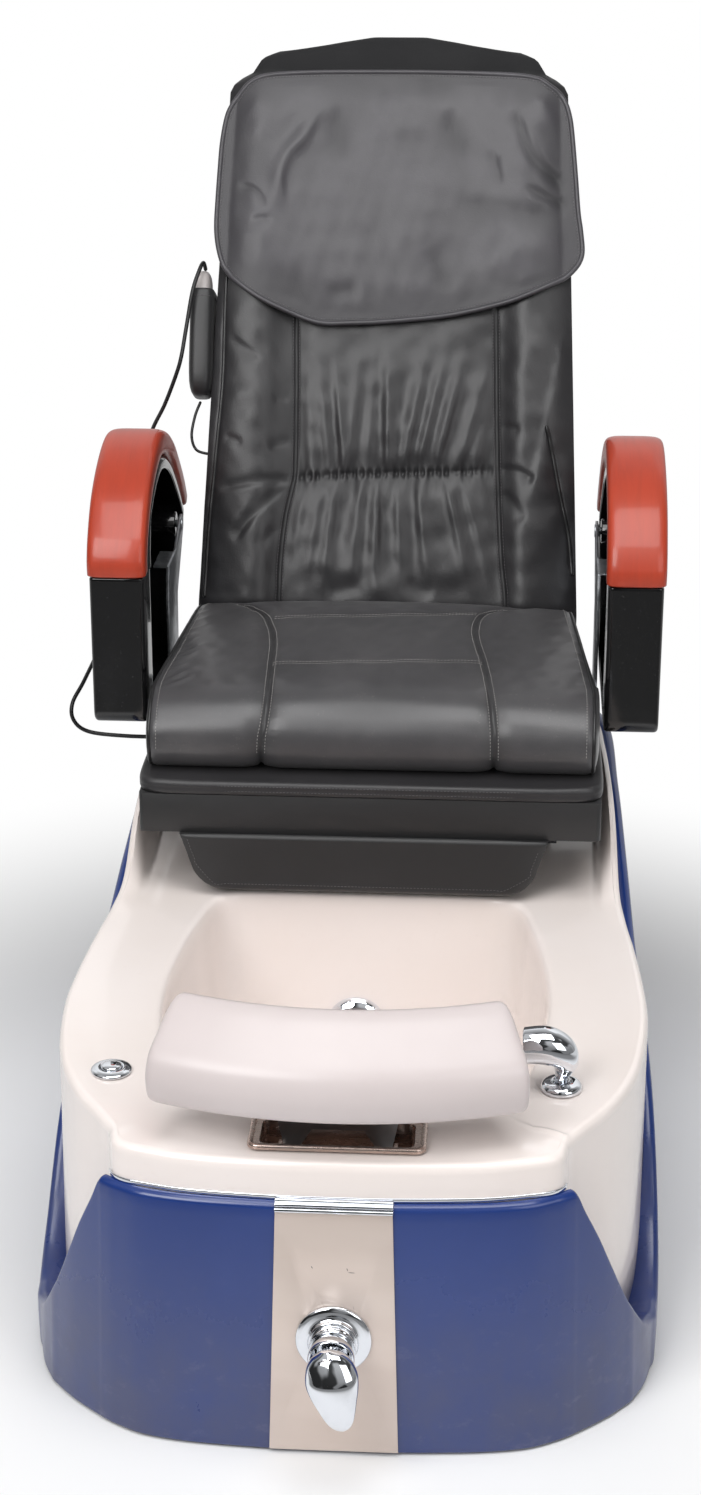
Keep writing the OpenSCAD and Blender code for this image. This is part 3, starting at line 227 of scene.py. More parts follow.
def skin(name, rings, finish, body, stands_for=(), round_trip=False, smooth=True):
    """A piece whose surface runs through rings of as many points each. Its ends are closed by fans
    round their middles, or it runs round on itself."""
    r = np.asarray(rings, float)
    n, m = r.shape[:2]
    points = r.reshape(-1, 3)
    faces = [net(n, m, round_trip)]
    if not round_trip:
        points = np.vstack([points, r[0].mean(0), r[-1].mean(0)])
        faces.append(fans(n, m))
    return piece(name, points, facing_out(points, faces), finish, body, stands_for, smooth)


def rings_along(path, radii, count, up=(0, 0, 1)):
    """Circles of the given radii round a path, each square to it and lined up with the last one."""
    p = np.asarray(path, float)
    t = np.gradient(p, axis=0)
    t /= np.linalg.norm(t, axis=1, keepdims=True)
    radii = np.broadcast_to(np.asarray(radii, float), (len(p),))
    side = np.cross(t[0], up)
    if np.linalg.norm(side) < 0.1:
        side = np.cross(t[0], (1.0, 0, 0))
    sides = []
    for k in range(len(p)):
        side = side - (side @ t[k])*t[k]
        side /= np.linalg.norm(side)
        sides.append(side)
    u = np.array(sides)
    v = np.cross(t, u)
    a = 2*np.pi*np.arange(count)/count
    return p[:, None] + radii[:, None, None]*(u[:, None]*np.cos(a)[None, :, None]
                                              + v[:, None]*np.sin(a)[None, :, None])


def rope(name, path, radius, finish, body, count=10, stands_for=(), round_trip=False):
    """Round cord along a path, with domed ends."""
    p = np.asarray(path, float)
    r = np.full(len(p), float(radius))
    if not round_trip:
        a, b = p[0] - p[1], p[-1] - p[-2]
        a, b = a/np.linalg.norm(a), b/np.linalg.norm(b)
        reach = np.array([0.95, 0.75, 0.4])*radius
        size = np.array([0.3, 0.66, 0.92])*radius
        p = np.vstack([p[0] + a*reach[:, None], p, p[-1] + b*reach[::-1, None]])
        r = np.r_[size, r, size[::-1]]
        return skin(name, rings_along(p, r, count), finish, body, stands_for)
    return skin(name, rings_along(np.vstack([p[-1:], p, p[:1]]), radius, count)[1:-1], finish, body,
                stands_for, round_trip=True)


def turned(name, outline, place, finish, body, stands_for=(), count=72):
    """A turned piece: an outline of radius and height, closed on the axis or on itself, spun about
    the axis of a frame that place() gives."""
    o = np.asarray(outline, float)
    a = 2*np.pi*np.arange(count)/count
    rings = np.stack([o[:, :1]*np.cos(a), o[:, :1]*np.sin(a), np.broadcast_to(o[:, 1:], (len(o), count))], -1)
    if o[0, 0] < 1e-6 and o[-1, 0] < 1e-6:
        rings = rings[1:-1]
        r = place(rings)
        poles = place(np.array([[[0, 0, o[0, 1]]], [[0, 0, o[-1, 1]]]], float)).reshape(2, 3)
        n, m = r.shape[:2]
        points = np.vstack([r.reshape(-1, 3), poles])
        faces = facing_out(points, [net(n, m), fans(n, m)])
        return piece(name, points, faces, finish, body, stands_for)
    return skin(name, place(rings), finish, body, stands_for, round_trip=True)


DASH_SHARE, DASH_LIFT = 0.62, 0.2   # a dash's length as a share of the pitch, and its height


def stitches(name, path, normals, pitch, finish, body, radius=0.4):
    """A row of thread dashes along a path on a surface: each is a short bar with narrow ends, pitch
    apart."""
    p = np.asarray(path, float)
    run = np.r_[0, np.cumsum(np.linalg.norm(np.diff(p, axis=0), axis=1))]
    at = np.arange(pitch/2, run[-1], pitch)
    c = np.stack([np.interp(at, run, p[:, k]) for k in range(3)], 1)
    q = np.stack([np.interp(at + 0.5, run, p[:, k]) for k in range(3)], 1)
    t = q - np.stack([np.interp(at - 0.5, run, p[:, k]) for k in range(3)], 1)
    t /= np.linalg.norm(t, axis=1, keepdims=True)
    nn = np.asarray(normals, float)
    nn = np.stack([np.interp(at, run, nn[:, k]) for k in range(3)], 1)
    nn -= np.einsum("ij,ij->i", nn, t)[:, None]*t
    nn /= np.linalg.norm(nn, axis=1, keepdims=True)
    s = np.cross(t, nn)
    reach = np.array([-0.5, -0.36, 0.36, 0.5])*DASH_SHARE*pitch   # four sections of six points
    size = np.array([0.35, 1, 1, 0.35])*radius
    a = 2*np.pi*np.arange(6)/6
    ring = (c[:, None, None] + reach[None, :, None, None]*t[:, None, None]
            + nn[:, None, None]*(DASH_LIFT + size[None, :, None, None]*np.sin(a)[None, None, :, None])
            + s[:, None, None]*size[None, :, None, None]*np.cos(a)[None, None, :, None])
    quads = net(4, 6)
    caps = np.array([[0, 1, 2, 3, 4, 5], [23, 22, 21, 20, 19, 18]])
    if volume(ring[0].reshape(-1, 3), [quads, caps]) < 0:
        quads, caps = quads[:, ::-1], caps[:, ::-1]
    base = 24*np.arange(len(at))[:, None, None]
    faces = list((quads[None] + base).reshape(-1, 4)) + list((caps[None] + base).reshape(-1, 6))
    return piece(name, ring.reshape(-1, 3), faces, finish, body)


def carve(thing, cutters):
    """Takes the cutters out of a piece and removes them."""
    for cutter in cutters:
        cut = thing.modifiers.new("cut", "BOOLEAN")
        cut.operation = "DIFFERENCE"
        cut.solver = "EXACT"
        cut.object = cutter
    bpy.context.view_layer.update()
    done = bpy.data.meshes.new_from_object(thing.evaluated_get(bpy.context.evaluated_depsgraph_get()))
    thing.modifiers.clear()
    thing.data = done
    for cutter in cutters:
        bpy.data.objects.remove(cutter)
    return thing


def drill(centre, direction, radius, length, body):
    """Round cutter along a direction."""
    d = np.asarray(direction, float)
    c = np.asarray(centre, float)
    path = c + np.outer([-0.5, 0.5], d)*length
    return skin("drill", rings_along(path, radius, 40), None, body, smooth=False)


WELD_REACH, SHARP_EDGE = 0.00002, math.radians(32)


def softened(thing, width):
    """Rounds the edges of a model's own solid: its loose faces are joined, then edges sharper than
    SHARP_EDGE get a narrow bevel."""
    weld = thing.modifiers.new("join", "WELD")
    weld.merge_threshold = WELD_REACH
    bevel = thing.modifiers.new("edge", "BEVEL")
    bevel.width = width
    bevel.segments = 2
    bevel.limit_method = "ANGLE"
    bevel.angle_limit = SHARP_EDGE
    bevel.harden_normals = True
    thing.data.polygons.foreach_set("use_smooth", np.ones(len(thing.data.polygons), bool))


def finish_node(name, finish, bevel):
    """Gives a model's own solid its finish, and softened edges where the bevel isn't 0."""
    thing = nodes[name]
    thing.data.materials.clear()
    thing.data.materials.append(finish)
    if bevel:
        softened(thing, bevel)


# ---------------------------------------------------------------- finishes

def tone(code):
    """Linear colour from a six-figure code."""
    v = [int(code[k:k + 2], 16)/255 for k in (0, 2, 4)]
    return [c/12.92 if c <= 0.04045 else ((c + 0.055)/1.055)**2.4 for c in v] + [1.0]


class Value:
    """A socket that takes part in sums: each operator adds a Math node."""

    def __init__(self, finish, socket):
        self.finish, self.socket = finish, socket

    def sum(self, operation, *values):
        return self.finish.node("ShaderNodeMath", {"operation": operation}, list(values))

    def __add__(self, other): return self.sum("ADD", self, other)
    def __radd__(self, other): return self.sum("ADD", other, self)
    def __sub__(self, other): return self.sum("SUBTRACT", self, other)
    def __rsub__(self, other): return self.sum("SUBTRACT", other, self)
    def __mul__(self, other): return self.sum("MULTIPLY", self, other)
    def __rmul__(self, other): return self.sum("MULTIPLY", other, self)
    def __truediv__(self, other): return self.sum("DIVIDE", self, other)
    def __rtruediv__(self, other): return self.sum("DIVIDE", other, self)
    def __pow__(self, other): return self.sum("POWER", self, other)

    def above(self, low, high, start=0.0, end=1.0):
        """start below low, end above high, smooth between."""
        return self.finish.node("ShaderNodeMapRange", {"interpolation_type": "SMOOTHSTEP"},
                                {"Value": self, "From Min": low, "From Max": high, "To Min": start,
                                 "To Max": end})


class Finish:
    """One finish and its node tree."""

    def __init__(self, name):
        self.material = bpy.data.materials.new(name)
        self.material.use_nodes = True
        self.tree = self.material.node_tree
        self.tree.nodes.clear()
        self.place = self.node("ShaderNodeTexCoord", out="Object")

    def node(self, kind, settings=None, inputs=None, out=0):
        """A node of a kind, with its settings made first and then its inputs' values or links."""
        made = self.tree.nodes.new(kind)
        for key, value in (settings or {}).items():
            setattr(made, key, value)
        pairs = enumerate(inputs) if isinstance(inputs, (list, tuple)) else (inputs or {}).items()
        for key, value in pairs:
            if value is None:
                continue
            if isinstance(value, Value):
                self.tree.links.new(value.socket, made.inputs[key])
            else:
                made.inputs[key].default_value = value
        return Value(self, made.outputs[out])

    def stretched(self, scale, turn=(0, 0, 0), place=None):
        """Coordinates scaled and turned."""
        return self.node("ShaderNodeMapping", None,
                         {"Vector": place or self.place, "Scale": scale, "Rotation": turn})

    def noise(self, scale, detail=3.0, rough=0.5, place=None, warp=0.0):
        return self.node("ShaderNodeTexNoise", {"noise_dimensions": "3D"},
                         {"Vector": place or self.place, "Scale": scale, "Detail": detail,
                          "Roughness": rough, "Distortion": warp})

    def cells(self, scale, feature="F1", place=None, out="Distance"):
        return self.node("ShaderNodeTexVoronoi", {"feature": feature},
                         {"Vector": place or self.place, "Scale": scale}, out=out)

    def mark(self, name):
        """A number kept at each point of the piece."""
        return self.node("ShaderNodeAttribute", {"attribute_name": name}, out="Fac")

    def mix(self, share, a, b):
        return self.node("ShaderNodeMix", {"data_type": "RGBA"}, {0: share, 6: a, 7: b}, out=2)

    def bump(self, height, distance, strength=1.0, below=None):
        return self.node("ShaderNodeBump", None, {"Height": height, "Distance": distance,
                                                  "Strength": strength, "Normal": below})

    def height(self, axis):
        """One coordinate of the piece's place, in metres."""
        return self.node("ShaderNodeSeparateXYZ", None, {0: self.place}, out="XYZ".index(axis))

    def end(self, kind, surface):
        """Links a shader to the tree's output node."""
        self.tree.links.new(surface.socket, self.tree.nodes.new(kind).inputs[0])

    def shader(self, **inputs):
        """The surface: each input by its socket's name with spaces for underlines."""
        named = {key.replace("_", " "): value for key, value in inputs.items()}
        self.end("ShaderNodeOutputMaterial", self.node("ShaderNodeBsdfPrincipled", None, named))
        return self.material


class Surroundings(Finish):
    """The world's node tree, built by the same methods."""

    def __init__(self, name):
        self.world = bpy.data.worlds.new(name)
        self.world.use_nodes = True
        self.tree = self.world.node_tree
        self.tree.nodes.clear()
        self.place = self.node("ShaderNodeTexCoord", out="Generated")


made_finishes = {}


def finish(name):
    """The finish of that name, made once."""
    if name not in made_finishes:
        made_finishes[name] = FINISHES[name]()
    return made_finishes[name]


def colours():
    """The colours set in the panel."""
    return bpy.context.scene.spa_colours


def blue_shell():
    """Blue gel coat: deep colour, orange-peel ripple, scuffs near the floor, and a greyer tone towards
    the floor that is partly clouds of dust and partly a painted reflection of the floor."""
    f = Finish("blue_gel_coat")
    cloud = f.noise(5.0, 4.0, 0.6)
    low = 1 - f.height("Z").above(0.02, 0.27)
    scuff = f.noise(34.0, 6.0, 0.7, f.stretched((1, 1, 1.4))).above(0.55, 0.74)*low
    dust_and_reflection = f.noise(9.0, 6.0, 0.62, f.stretched((1, 1, 0.7))).above(0.30, 0.74)
    deep = list(colours().shell)
    pale = [min(1.0, c*1.35 + 0.006) for c in deep[:3]] + [1.0]
    base = f.mix(cloud.above(0.35, 0.75)*0.35, deep, pale)
    # Towards the floor the blue is mixed with grey: partly dust in clouds, partly a painted reflection of the
    # floor.
    base = f.mix(low*(0.18 + 0.42*dust_and_reflection), base, tone("504f5e"))
    base = f.mix(scuff*0.25, base, tone("73748a"))
    peel = f.bump(f.noise(55.0, 2.0, 0.4), 0.0006, 0.35)
    return f.shader(Base_Color=base, Roughness=0.20 + cloud*0.10 + low*dust_and_reflection*0.22, Coat_Weight=0.35,
                    Coat_Roughness=0.12, Normal=peel, IOR=1.5)


def ivory_acrylic():
    """Polished acrylic: warm white with faint clouds, a slow ripple and soft wear."""
    f = Finish("ivory_acrylic")
    cloud = f.noise(3.2, 4.0, 0.55)
    fine = f.noise(90.0, 3.0, 0.5)
    base = f.mix(cloud.above(0.3, 0.8)*0.5, tone("efe6e2"), tone("e8dcd4"))
    base = f.mix(fine.above(0.62, 0.8)*0.12, base, tone("e0d2ca"))
    ripple = f.bump(f.noise(9.0, 2.0, 0.4), 0.0012, 0.22)
    return f.shader(Base_Color=base, Roughness=0.16 + fine*0.10, Coat_Weight=0.4, Coat_Roughness=0.08,
                    Normal=ripple, IOR=1.5)


def pad_white():
    """Moulded soft skin of the footrest: satin white with a very fine pebble."""
    f = Finish("moulded_white_skin")
    cloud = f.noise(7.0, 3.0, 0.5)
    base = f.mix(cloud.above(0.35, 0.75)*0.4, tone("ccc2c1"), tone("c2b7b6"))
    pebble = f.bump(f.cells(1500.0), 0.00012, 0.35)
    return f.shader(Base_Color=base, Roughness=0.30 + cloud*0.12, Normal=pebble, Coat_Weight=0.15,
                    Coat_Roughness=0.2, IOR=1.48)


def leather(name, code, worn_code, gloss, wrinkle=1.0, dust=0.0, coat=0.14):
    """Coated leather: pebbled grain, fine creases and paler worn patches, with painted shade darkening
    its folds, seams and other marked places, and the crown of folds rubbed smoother."""
    f = Finish(name)
    warp = f.noise(14.0, 3.0, 0.5)
    grain = f.cells(1050.0, "SMOOTH_F1")
    crease = f.cells(150.0, "DISTANCE_TO_EDGE", f.stretched((1, 1, 0.8)))
    wear = f.noise(9.0, 6.0, 0.65, f.stretched((1, 0.6, 1)))
    fold = f.mark("fold")
    base = f.mix(wear.above(0.42, 0.78)*0.55, tone(code), tone(worn_code))
    # Painted shade: the mark darkens the colour towards near black in folds, seams and other shaded places.
    base = f.mix(fold*0.75, base, tone("141416"))
    if dust:
        speck = f.noise(260.0, 2.0, 0.6).above(0.60, 0.76)*f.noise(22.0, 4.0, 0.6).above(0.42, 0.7)
        base = f.mix(speck*dust, base, tone("87837f"))
    low = f.bump(warp, 0.004*wrinkle, 0.30)
    mid = f.bump(crease.above(0.0, 0.10), 0.00025, 0.25*wrinkle, low)
    high = f.bump(grain, 0.00022, 0.30, mid)
    return f.shader(Base_Color=base, Roughness=gloss + wear*0.16 + fold*0.2, Normal=high,
                    Coat_Weight=coat*(1 - fold.above(0.8, 1.8)), Coat_Roughness=0.30, IOR=1.5,
                    Sheen_Weight=0.06, Sheen_Roughness=0.4)


def spun_thread(name, code, pale_code, rough, sheen):
    """Sewing thread: fine mottle of two tones, standing up as its twist."""
    f = Finish(name)
    twist = f.noise(1800.0, 2.0, 0.5)
    base = f.mix(twist, tone(code), tone(pale_code))
    return f.shader(Base_Color=base, Roughness=rough + twist*0.1, Sheen_Weight=sheen,
                    Normal=f.bump(twist, 0.0002, 0.5))


def chrome():
    """Bright chrome plate with a faint haze of water spots."""
    f = Finish("bright_chrome")
    haze = f.noise(30.0, 5.0, 0.6).above(0.5, 0.8)
    spot = f.cells(240.0).above(0.0, 0.12)
    base = f.mix(haze*0.35, tone("e6e9ee"), tone("b9bdc4"))
    return f.shader(Base_Color=base, Metallic=1.0, Roughness=0.045 + haze*0.06 + (1 - spot)*0.03,
                    Normal=f.bump(f.noise(60.0, 1.0, 0.4), 0.0002, 0.15))


# Short marks on the panel: x and z in metres, lean, half length
PANEL_MARKS = [(-0.023, 0.2305, 1.1, 0.0016), (0.0145, 0.229, 1.3, 0.0018), (0.019, 0.2255, 0.05, 0.0035)]


def brushed_panel():
    """Stainless sheet brushed from side to side, warm in tone, with many fine hairs and a few dark
    marks, each a narrow ellipse along its lean."""
    f = Finish("brushed_stainless")
    hair = f.noise(260.0, 4.0, 0.7, f.stretched((0.05, 1, 4.0)))
    band = f.noise(5.0, 3.0, 0.5, f.stretched((0.6, 1, 2.0)))
    scratch = f.noise(120.0, 1.0, 0.3, f.stretched((1.2, 1, 0.25), (0, 0.9, 0)), 0.8).above(0.80, 0.83)
    base = f.mix(band.above(0.3, 0.75)*0.6, tone("ddcfc6"), tone("cbbab0"))
    base = f.mix(scratch*0.6, base, tone("6d6560"))
    at_x, at_z = f.height("X"), f.height("Z")
    for x, z, lean, long in PANEL_MARKS:
        u, v = at_x - x, at_z - z
        along = u*math.cos(lean) - v*math.sin(lean)
        aside = u*math.sin(lean) + v*math.cos(lean)
        near = ((along/long)**2.0 + (aside/0.0005)**2.0).above(0.4, 1.6)
        base = f.mix(0.8 - 0.8*near, base, tone("4a4341"))
    return f.shader(Base_Color=base, Metallic=0.30, Roughness=0.24 + hair*0.14, Anisotropic=0.5,
                    Normal=f.bump(hair, 0.0001, 0.35))


def steel(name, code, rough):
    """Steel with fine hairs along x and darker smears."""
    f = Finish(name)
    hair = f.noise(300.0, 3.0, 0.6, f.stretched((0.12, 1, 1)))
    smear = f.noise(14.0, 4.0, 0.6)
    base = f.mix(smear.above(0.35, 0.8)*0.5, tone(code), tone("8f8c88"))
    return f.shader(Base_Color=base, Metallic=1.0, Roughness=rough + hair*0.14 + smear*0.08,
                    Normal=f.bump(hair, 0.00008, 0.3))


def galvanised():
    """Zinc plate: angular spangles of slightly different greys, dulled in patches."""
    f = Finish("zinc_plate")
    spangle = f.node("ShaderNodeSeparateColor", None, {0: f.cells(150.0, out="Color")})
    dull = f.noise(20.0, 5.0, 0.6).above(0.45, 0.8)
    base = f.mix(spangle*0.6, tone("a9adb2"), tone("cfd2d6"))
    base = f.mix(dull*0.4, base, tone("88867f"))
    return f.shader(Base_Color=base, Metallic=0.95, Roughness=0.30 + spangle*0.12 + dull*0.15)


def black_gloss():
    """Black moulding with a deep polish: faint swirls, dust and rubbed places."""
    f = Finish("black_gloss_moulding")
    dust = f.noise(420.0, 2.0, 0.6).above(0.64, 0.78)
    rub = f.noise(11.0, 5.0, 0.65).above(0.48, 0.8)
    base = f.mix(rub*0.25, tone("0a0a0b"), tone("17171a"))
    base = f.mix(dust*0.12, base, tone("77777a"))
    return f.shader(Base_Color=base, Roughness=0.10 + rub*0.16 + dust*0.2, Coat_Weight=0.3,
                    Coat_Roughness=0.06, Normal=f.bump(f.noise(24.0, 2.0, 0.4), 0.0010, 0.18), IOR=1.5)


def lacquered_wood():
    """Red-brown lacquer over straight grain: long darker streaks, fine pores and a thick gloss."""
    f = Finish("lacquered_wood")
    flow = f.stretched((1.6, 0.16, 0.34))
    ring = f.noise(46.0, 5.0, 0.6, flow, 0.5)
    pore = f.noise(420.0, 3.0, 0.6, f.stretched((1.0, 0.05, 0.12)))
    cloud = f.noise(8.0, 3.0, 0.5)
    rich = list(colours().arm_pads)
    dark = [c*0.55 for c in rich[:3]] + [1.0]
    base = f.mix(ring.above(0.38, 0.66)*0.22, rich, dark)
    base = f.mix(pore.above(0.56, 0.72)*0.12, base, tone("6a2214"))
    base = f.mix(cloud.above(0.4, 0.8)*0.25, base, tone("bd4a22"))
    return f.shader(Base_Color=base, Roughness=0.42 + cloud*0.10, Coat_Weight=0.4, Coat_Roughness=0.14,
                    Normal=f.bump(ring, 0.0004, 0.15), IOR=1.5)


def matt_plastic(name, code, pale_code, rough=0.5, grain=900.0):
    """Dull plastic in clouds of two tones, with a fine pebble of grain cells to the metre."""
    f = Finish(name)
    cloud = f.noise(18.0, 4.0, 0.6)
    base = f.mix(cloud.above(0.35, 0.75)*0.6, tone(code), tone(pale_code))
    return f.shader(Base_Color=base, Roughness=rough + cloud*0.14,
                    Normal=f.bump(f.cells(grain), 0.0001, 0.4))


def powder_coat():
    """Dark powder coat of the frames: a fine peel, rubbed paler in patches."""
    f = Finish("powder_coat")
    peel = f.noise(520.0, 3.0, 0.5)
    rub = f.noise(26.0, 5.0, 0.65).above(0.58, 0.8)
    base = f.mix(rub*0.5, tone("2c2f33"), tone("5b5e62"))
    return f.shader(Base_Color=base, Roughness=0.42 + peel*0.1 + rub*0.1,
                    Normal=f.bump(peel, 0.0003, 0.45))


def braided():
    """Woven steel sleeve of the water hoses: two sets of fine slanting strands."""
    f = Finish("braided_sleeve")
    strands = [f.node("ShaderNodeTexWave", {"wave_type": "BANDS", "bands_direction": "DIAGONAL"},
                      {"Vector": place, "Scale": 190.0, "Distortion": 0.4})
               for place in (f.place, f.stretched((-1, 1, 1)))]
    weave = f.node("ShaderNodeMath", {"operation": "MAXIMUM"}, strands)
    base = f.mix(weave, tone("5d6064"), tone("c3c7cb"))
    return f.shader(Base_Color=base, Metallic=0.85, Roughness=0.32 + weave*0.12,
                    Normal=f.bump(weave, 0.0005, 0.6))


FINISHES = {
    "blue_shell": blue_shell,
    "ivory": ivory_acrylic,
    "pad_white": pad_white,
    # Painted light: the seat's and the flap's leather get lighter tones than the back's for the light that falls
    # on them; the seat's specks of dust are its own.
    "seat_leather": lambda: leather("seat_leather", "403f41", "545253", 0.30, 0.7, 0.30, 0.35),
    "back_leather": lambda: leather("back_leather", "222123", "302f31", 0.34, 0.8),
    "flap_leather": lambda: leather("flap_leather", "3b393d", "4a484d", 0.37, 0.8),
    "lid_leather": lambda: leather("lid_leather", "262527", "333133", 0.40, 0.5, 0.12),
    "fascia_leather": lambda: leather("fascia_leather", "232324", "2b2a2c", 0.42, 0.25),
    "piping": lambda: leather("piping_leather", "161617", "242325", 0.30, 0.3),
    "thread": lambda: spun_thread("grey_thread", "7d7a78", "a9a6a3", 0.75, 0.2),
    "dark_thread": lambda: spun_thread("dark_thread", "4c4a4c", "6d6a6c", 0.7, 0.0),
    "chrome": chrome,
    "brushed": brushed_panel,
    "steel": lambda: steel("satin_steel", "b9bcc0", 0.25),
    "tray": lambda: steel("tray_steel", "cdb9af", 0.16),
    "zinc": galvanised,
    "black_gloss": black_gloss,
    "wood": lacquered_wood,
    "frame_paint": powder_coat,
    "black_plastic": lambda: matt_plastic("black_plastic", "26272a", "38393c"),
    "pipe": lambda: matt_plastic("pipe_plastic", "dcdcd6", "c4c4bc", 0.35),
    "rubber": lambda: matt_plastic("black_rubber", "1a1a1b", "2b2b2c", 0.6, 500.0),
    "remote_shell": lambda: matt_plastic("remote_shell", "b9b3b1", "a39d9c", 0.42),
    "clear_tube": lambda: matt_plastic("clear_tube", "d6d6cd", "bfbfb4", 0.25),
    "cord": lambda: matt_plastic("cord_sheath", "161617", "232324", 0.38, 700.0),
    "braid": braided,
}


# ---------------------------------------------------------------- frames of the chair

APRON_H, APRON_Y, NOTCH_Z, SHOULDER_R, SHELL_T = 303.0, 10.0, 70.0, 8.0, 6.0
DECK_Z, TUB_T, FLOOR_Z = 346.0, 7.0, 122.0
BASIN_MIDDLE, BASIN_REACH = 412.0, 262.0
PLATFORM_Z = DECK_Z + 16
BUTTON_AT = np.array([-262, 204, DECK_Z + 5.7])
COLLAR_AT = np.array([239, 194, DECK_Z + 5.5])
VALVE_Z, LEVER_Y, LEVER_TURN = 144.0, -57.0, math.radians(-13)
NUT_Z = -16.2
SKIRT_X, SKIRT_Y, SKIRT_Z, SKIRT_H, SKIRT_THREAD_Y = -7.0, 670, 372, 74.4, 657.3
BACK_Y, BACK_Z, LEAN, BACK_L, BACK_W, PAD_T = 1110.0, 600.0, math.radians(22), 822.0, 532.0, 74.0
ARM_X, ARM_W, ARM_PAD_T = 296.0, 70.0, 38.0
APRON_LEAN = math.atan(APRON_Y/APRON_H)


def leaning(p, angle):
    """Points turned back by an angle about the x axis: y' = y cos + z sin, z' = z cos - y sin."""
    p = np.asarray(p, float)
    c, s = math.cos(angle), math.sin(angle)
    return np.stack([p[..., 0], p[..., 1]*c + p[..., 2]*s, p[..., 2]*c - p[..., 1]*s], -1)


def on_apron(p):
    """Points of the upright apron put on the leaning one."""
    return leaning(p, APRON_LEAN)


def on_back(p):
    """Points of an upright back put on the leaning one: x across, y to the rear, z up it."""
    return leaning(p, LEAN) + [0, BACK_Y, BACK_Z]


def forward(p):
    """Height along z laid out towards the chair's front."""
    p = np.asarray(p, float)
    return np.stack([p[..., 0], -p[..., 2], p[..., 1]], -1)


def chamfered(outline, d=0.25):
    """An outline whose inner corners are each cut by two points at distance d."""
    o = np.asarray(outline, float)
    out = [o[0]]
    for a, b, c in zip(o[:-2], o[1:-1], o[2:]):
        u, v = a - b, c - b
        lu, lv = np.linalg.norm(u), np.linalg.norm(v)
        out += [b + u/lu*min(d, lu*0.4), b + v/lv*min(d, lv*0.4)]
    return np.array(out + [o[-1]])


def shut(outline, d=0.25):
    """The same for an outline that closes on itself."""
    o = np.asarray(outline, float)
    return chamfered(np.vstack([o[-1:], o, o[:1]]), d)[1:-1]


def round_box(width, length, r, count=8):
    """Rectangle with round corners of radius r, counterclockwise."""
    a = np.linspace(0, np.pi/2, count)
    arcs = []
    for k, (sx, sy) in enumerate(((1, 1), (-1, 1), (-1, -1), (1, -1))):
        b = a + k*np.pi/2
        arcs.append(np.stack([sx*(width/2 - r) + r*np.cos(b), sy*(length/2 - r) + r*np.sin(b)], 1))
    return np.vstack(arcs)


# ---------------------------------------------------------------- base

BASE_HALF = [
    [0, 10, 303], [66, 11, 303], [152, 17, 303], [205, 27, 303], [236, 42, 303], [251, 52, 303],
    [257.5, 57.5, 299], [266, 64.5, 276], [281, 77.5, 238], [294, 90, 199], [309, 107, 153], [321, 122.5, 121],
    [336, 151, 85],
    [346, 180, 72], [356, 216, 70], [361, 300, 112], [357, 400, 212],
    [350, 520, 275], [341, 660, 315], [334, 800, 366], [326, 960, 415], [314, 1105, 452],
    [262, 1185, 452], [120, 1195, 452], [0, 1195, 452],
]


def base_shell():
    """Blue skirt of the base: a wall that follows the plan's smooth loop, leaning out to the floor at
    the front and tucked in at the sides, with a quarter-round shoulder along its top edge, a lip
    sloping in as far as the tub and an inner face. The loop's own points carry the top edge's
    height."""
    loop = curve(mirrored(BASE_HALF), 8, closed=True)
    o = outward(loop)
    y = loop[:, 1]
    top = np.where(y < 150, np.minimum(loop[:, 2], APRON_H), np.maximum(loop[:, 2], NOTCH_Z))

    def ring(inward, z):
        z = np.broadcast_to(np.asarray(z, float), top.shape)
        lean = APRON_Y*np.clip(-1.8*o[:, 1], 0, 1)*np.clip(1 - z/APRON_H, 0, None)
        tuck = 12*np.clip((y - 170)/120, 0, 1)*np.abs(o[:, 0])*(1 - np.minimum(z, 60)/60)**2
        q = loop[:, :2] + (lean - tuck - inward)[:, None]*o
        return np.column_stack([q, z])

    tub_edge = curve(mirrored(TUB_HALF), 8, closed=True)[:, :2]
    gap = np.min(np.linalg.norm(loop[:, None, :2] - tub_edge[None], axis=2), axis=1)
    r = SHOULDER_R
    lip = np.where(y < 56, r + 2, np.clip(gap - 1.0, r + 2, 58))
    lip = (np.roll(lip, 1) + lip + np.roll(lip, -1))/3
    rings = [ring(1.5, 3), ring(0.3, 3.6), ring(0, 5)]
    rings += [ring(0, 5 + (top - r - 5)*s) for s in np.linspace(0.03, 1, 26)]
    rings += [ring(r - r*math.cos(a), top - r + r*math.sin(a)) for a in np.radians([15, 30, 45, 60, 75, 90])]
    slope = lip - r - 2
    rings += [ring(r + 0.4*slope + 1.2, top - 0.12*slope), ring(lip - 0.8, top - 0.4*slope),
              ring(lip, top - 0.6 - 0.4*slope), ring(lip, top - 4 - 0.4*slope),
              ring(SHELL_T, top - r - 4 - 0.45*slope)]
    rings += [ring(SHELL_T, 3 + (top - r - 30)*s) for s in (0.75, 0.5, 0.25, 0.1, 0.0)]
    thing = skin("blue_skirt", np.array(rings), finish("blue_shell"), "base", ["base_shell"],
                 round_trip=True)
    axis = on_apron(np.array([[0, 0, VALVE_Z], [0, 1, VALVE_Z]]))
    return carve(thing, [drill(axis[0], axis[1] - axis[0], 17, 60, "base")])


